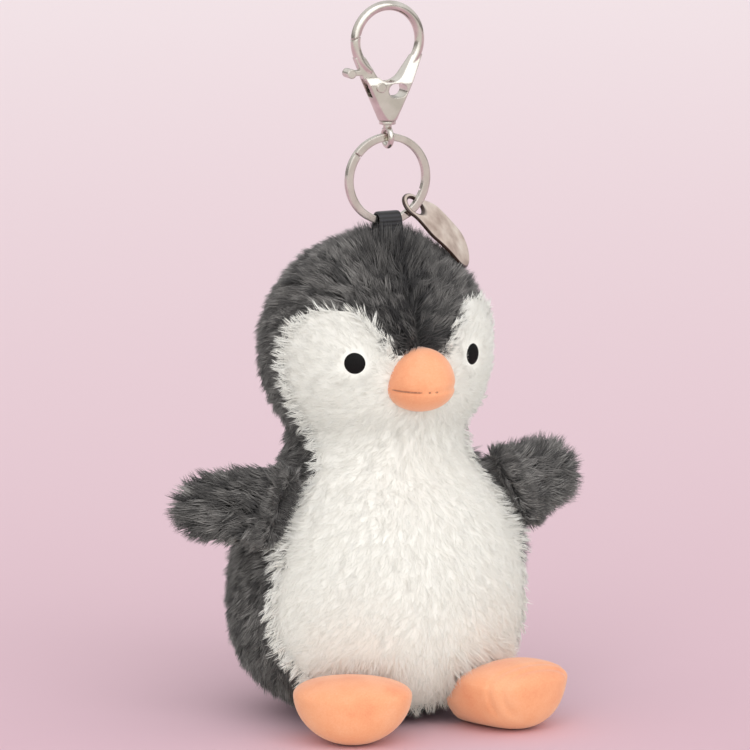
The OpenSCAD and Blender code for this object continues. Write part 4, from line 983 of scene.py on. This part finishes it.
# Half the outline, from the ear round the hole, widening along the taper, to the round end
reach = TAG_LONG - TAG_EAR
ear = np.linspace(np.pi, quarter, EAR_STEPS, endpoint=False)
nose = np.linspace(quarter, 0, NOSE_STEPS)
widen = np.linspace(0, 1, EDGE_STEPS, endpoint=False)
half_edge = np.concatenate([
    np.stack([TAG_EAR * np.cos(ear), TAG_EAR * np.sin(ear)], -1),
    np.stack([TAG_TAPER * widen, TAG_EAR + (TAG_WIDE / 2 - TAG_EAR) * ease(widen)], -1),
    np.stack([TAG_TAPER + (reach - TAG_WIDE / 2 - TAG_TAPER) * widen, np.full(EDGE_STEPS, TAG_WIDE / 2)], -1),
    np.stack([reach - TAG_WIDE / 2 + TAG_WIDE / 2 * np.cos(nose), TAG_WIDE / 2 * np.sin(nose)], -1)])
edge_turn, edge_far = np.arctan2(half_edge[:, 1], half_edge[:, 0])[::-1], np.hypot(*half_edge.T)[::-1]
turn = np.linspace(0, 2 * np.pi, TAG_TURNS + 1)
edge = np.interp(np.where(turn > np.pi, 2 * np.pi - turn, turn), edge_turn, edge_far)

# The section goes over the face, round the rim, back under the tag and up through the hole
flat = np.linspace(0, 1, FLAT_STEPS)
lip = np.linspace(quarter, -quarter, ROUND_STEPS)[1:-1]
inner_lip = np.linspace(-quarter, -3 * quarter, ROUND_STEPS)[1:]
lip_r = TAG_THICK / 2
share = np.concatenate([flat, np.ones(len(lip)), flat[::-1], np.zeros(len(inner_lip))])
out = np.concatenate([0 * flat, lip_r * np.cos(lip), 0 * flat, lip_r * np.cos(inner_lip)])
high = np.concatenate([lip_r + 0 * flat, lip_r * np.sin(lip), -lip_r + 0 * flat, lip_r * np.sin(inner_lip)])
far = TAG_HOLE + lip_r + (edge[:, None] - TAG_HOLE - 2 * lip_r) * share + out
along, across = far * np.cos(turn)[:, None], far * np.sin(turn)[:, None]
wave = TAG_WAVE * np.sin(along / WAVE_LONG + across / WAVE_WIDE)
drop = np.sqrt(TAG_BEND ** 2 - along ** 2) - TAG_BEND + wave * ease(along / WAVE_FULL) + high
tag_points = tag_pin + along[..., None] * tag_aim + across[..., None] * tag_cross + drop[..., None] * tag_up

# Leatherette has a fine pebble grain and worn, paler patches, and the paint that seals its edge is smooth
# and shines
TAG_COLOURS, TAG_PAINT, GRAIN_MM, PATCH_MM = ("#A08C81", "#C4B3A8", "#DCD0C6"), "#3A2A24", 0.9, 6
leatherette, tree, shader = new_material("taupe_leatherette_sealed_edge", Specular_IOR_Level=0.5)
spot = node(tree, "ShaderNodeSeparateXYZ", {0: node(tree, "ShaderNodeUVMap", uv_map="OFBake").outputs["UV"]})
where = node(tree, "ShaderNodeTexCoord").outputs["Object"]
grain = node(tree, "ShaderNodeTexVoronoi", {"Vector": where}, in_Scale=1000 / GRAIN_MM).outputs["Distance"]
patch = node(tree, "ShaderNodeTexNoise", {"Vector": where}, in_Scale=1000 / PATCH_MM, in_Detail=3.0)
hide = node(tree, "ShaderNodeValToRGB", {"Fac": patch.outputs["Fac"]},
            stops=list(zip((0.3, 0.5, 0.7), TAG_COLOURS)))
on_edge = node(tree, "ShaderNodeValToRGB", {"Fac": spot.outputs["Y"]}, stops=[
    (0.0, 1), (0.02, 0), (0.33, 0), (0.36, 1), (0.56, 1), (0.59, 0), (0.84, 0), (0.87, 1)]).outputs["Color"]
colour = node(tree, "ShaderNodeMix", {0: on_edge, 6: hide.outputs["Color"]}, data_type="RGBA",
              in_7=linear(TAG_PAINT))
tree.links.new(colour.outputs[2], shader.inputs["Base Color"])
rough = node(tree, "ShaderNodeMapRange", {"Value": on_edge}, in_3=0.5, in_4=0.22).outputs["Result"]
tree.links.new(rough, shader.inputs["Roughness"])
bump = node(tree, "ShaderNodeBump", {"Height": grain}, in_Strength=0.35, in_Distance=0.00015)
tree.links.new(bump.outputs["Normal"], shader.inputs["Normal"])
rows, cols = tag_points.shape[0] - 1, tag_points.shape[1] - 1
i, j = np.meshgrid(np.arange(rows), np.arange(cols), indexing="ij")
corner = np.stack([np.stack([i, j], -1), np.stack([i + 1, j], -1), np.stack([i + 1, j + 1], -1),
                   np.stack([i, j + 1], -1)], 2).reshape(-1, 4, 2)
tag = new_object("ring_tag", tag_points[:-1, :-1], [(corner[..., 0] % rows) * cols + corner[..., 1] % cols],
                 leatherette)
layer = tag.data.uv_layers.new(name="OFBake")
layer.data.foreach_set("uv", (corner / np.array([rows, cols])).astype(np.float32).ravel())
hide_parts("ring_tag")
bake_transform(tag)

# Hardware: split ring, swivel eye, clasp body, gate, rivet and spring are cast or bent metal, polished and
# nickel plated. Plating gives a clear warm-white reflection, a little softer where hands have rubbed it, and
# no edge is sharp.
RUB_MM, SCRATCH_MM, EDGE_ROUND = 4, 0.35, 0.0005
nickel, tree, shader = new_material("polished_nickel_plate", Metallic=1.0)
where = node(tree, "ShaderNodeTexCoord").outputs["Object"]
rub = node(tree, "ShaderNodeTexNoise", {"Vector": where}, in_Scale=1000 / RUB_MM, in_Detail=3.0)
rub = rub.outputs["Fac"]
rough = node(tree, "ShaderNodeMapRange", {"Value": rub}, in_1=0.3, in_2=0.75, in_3=0.09, in_4=0.22)
tree.links.new(rough.outputs["Result"], shader.inputs["Roughness"])
colour = node(tree, "ShaderNodeValToRGB", {"Fac": rub}, stops=[(0.3, "#C9C4BC"), (0.7, "#E3DFD8")])
tree.links.new(colour.outputs["Color"], shader.inputs["Base Color"])
scratch = node(tree, "ShaderNodeTexNoise", {"Vector": where}, in_Scale=1000 / SCRATCH_MM, in_Detail=2.0)
rounded = node(tree, "ShaderNodeBevel", in_Radius=EDGE_ROUND)
bump = node(tree, "ShaderNodeBump", {"Height": scratch.outputs["Fac"], "Normal": rounded.outputs["Normal"]},
            in_Strength=0.06, in_Distance=0.00005)
tree.links.new(bump.outputs["Normal"], shader.inputs["Normal"])
for name in ("split_ring", "swivel_eye", "clasp_body", "clasp_gate", "gate_rivet", "gate_spring"):
    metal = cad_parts[name]
    if not metal.data.materials:
        metal.data.materials.append(nickel)
    for place in metal.material_slots:
        place.link = "OBJECT"
        place.material = nickel
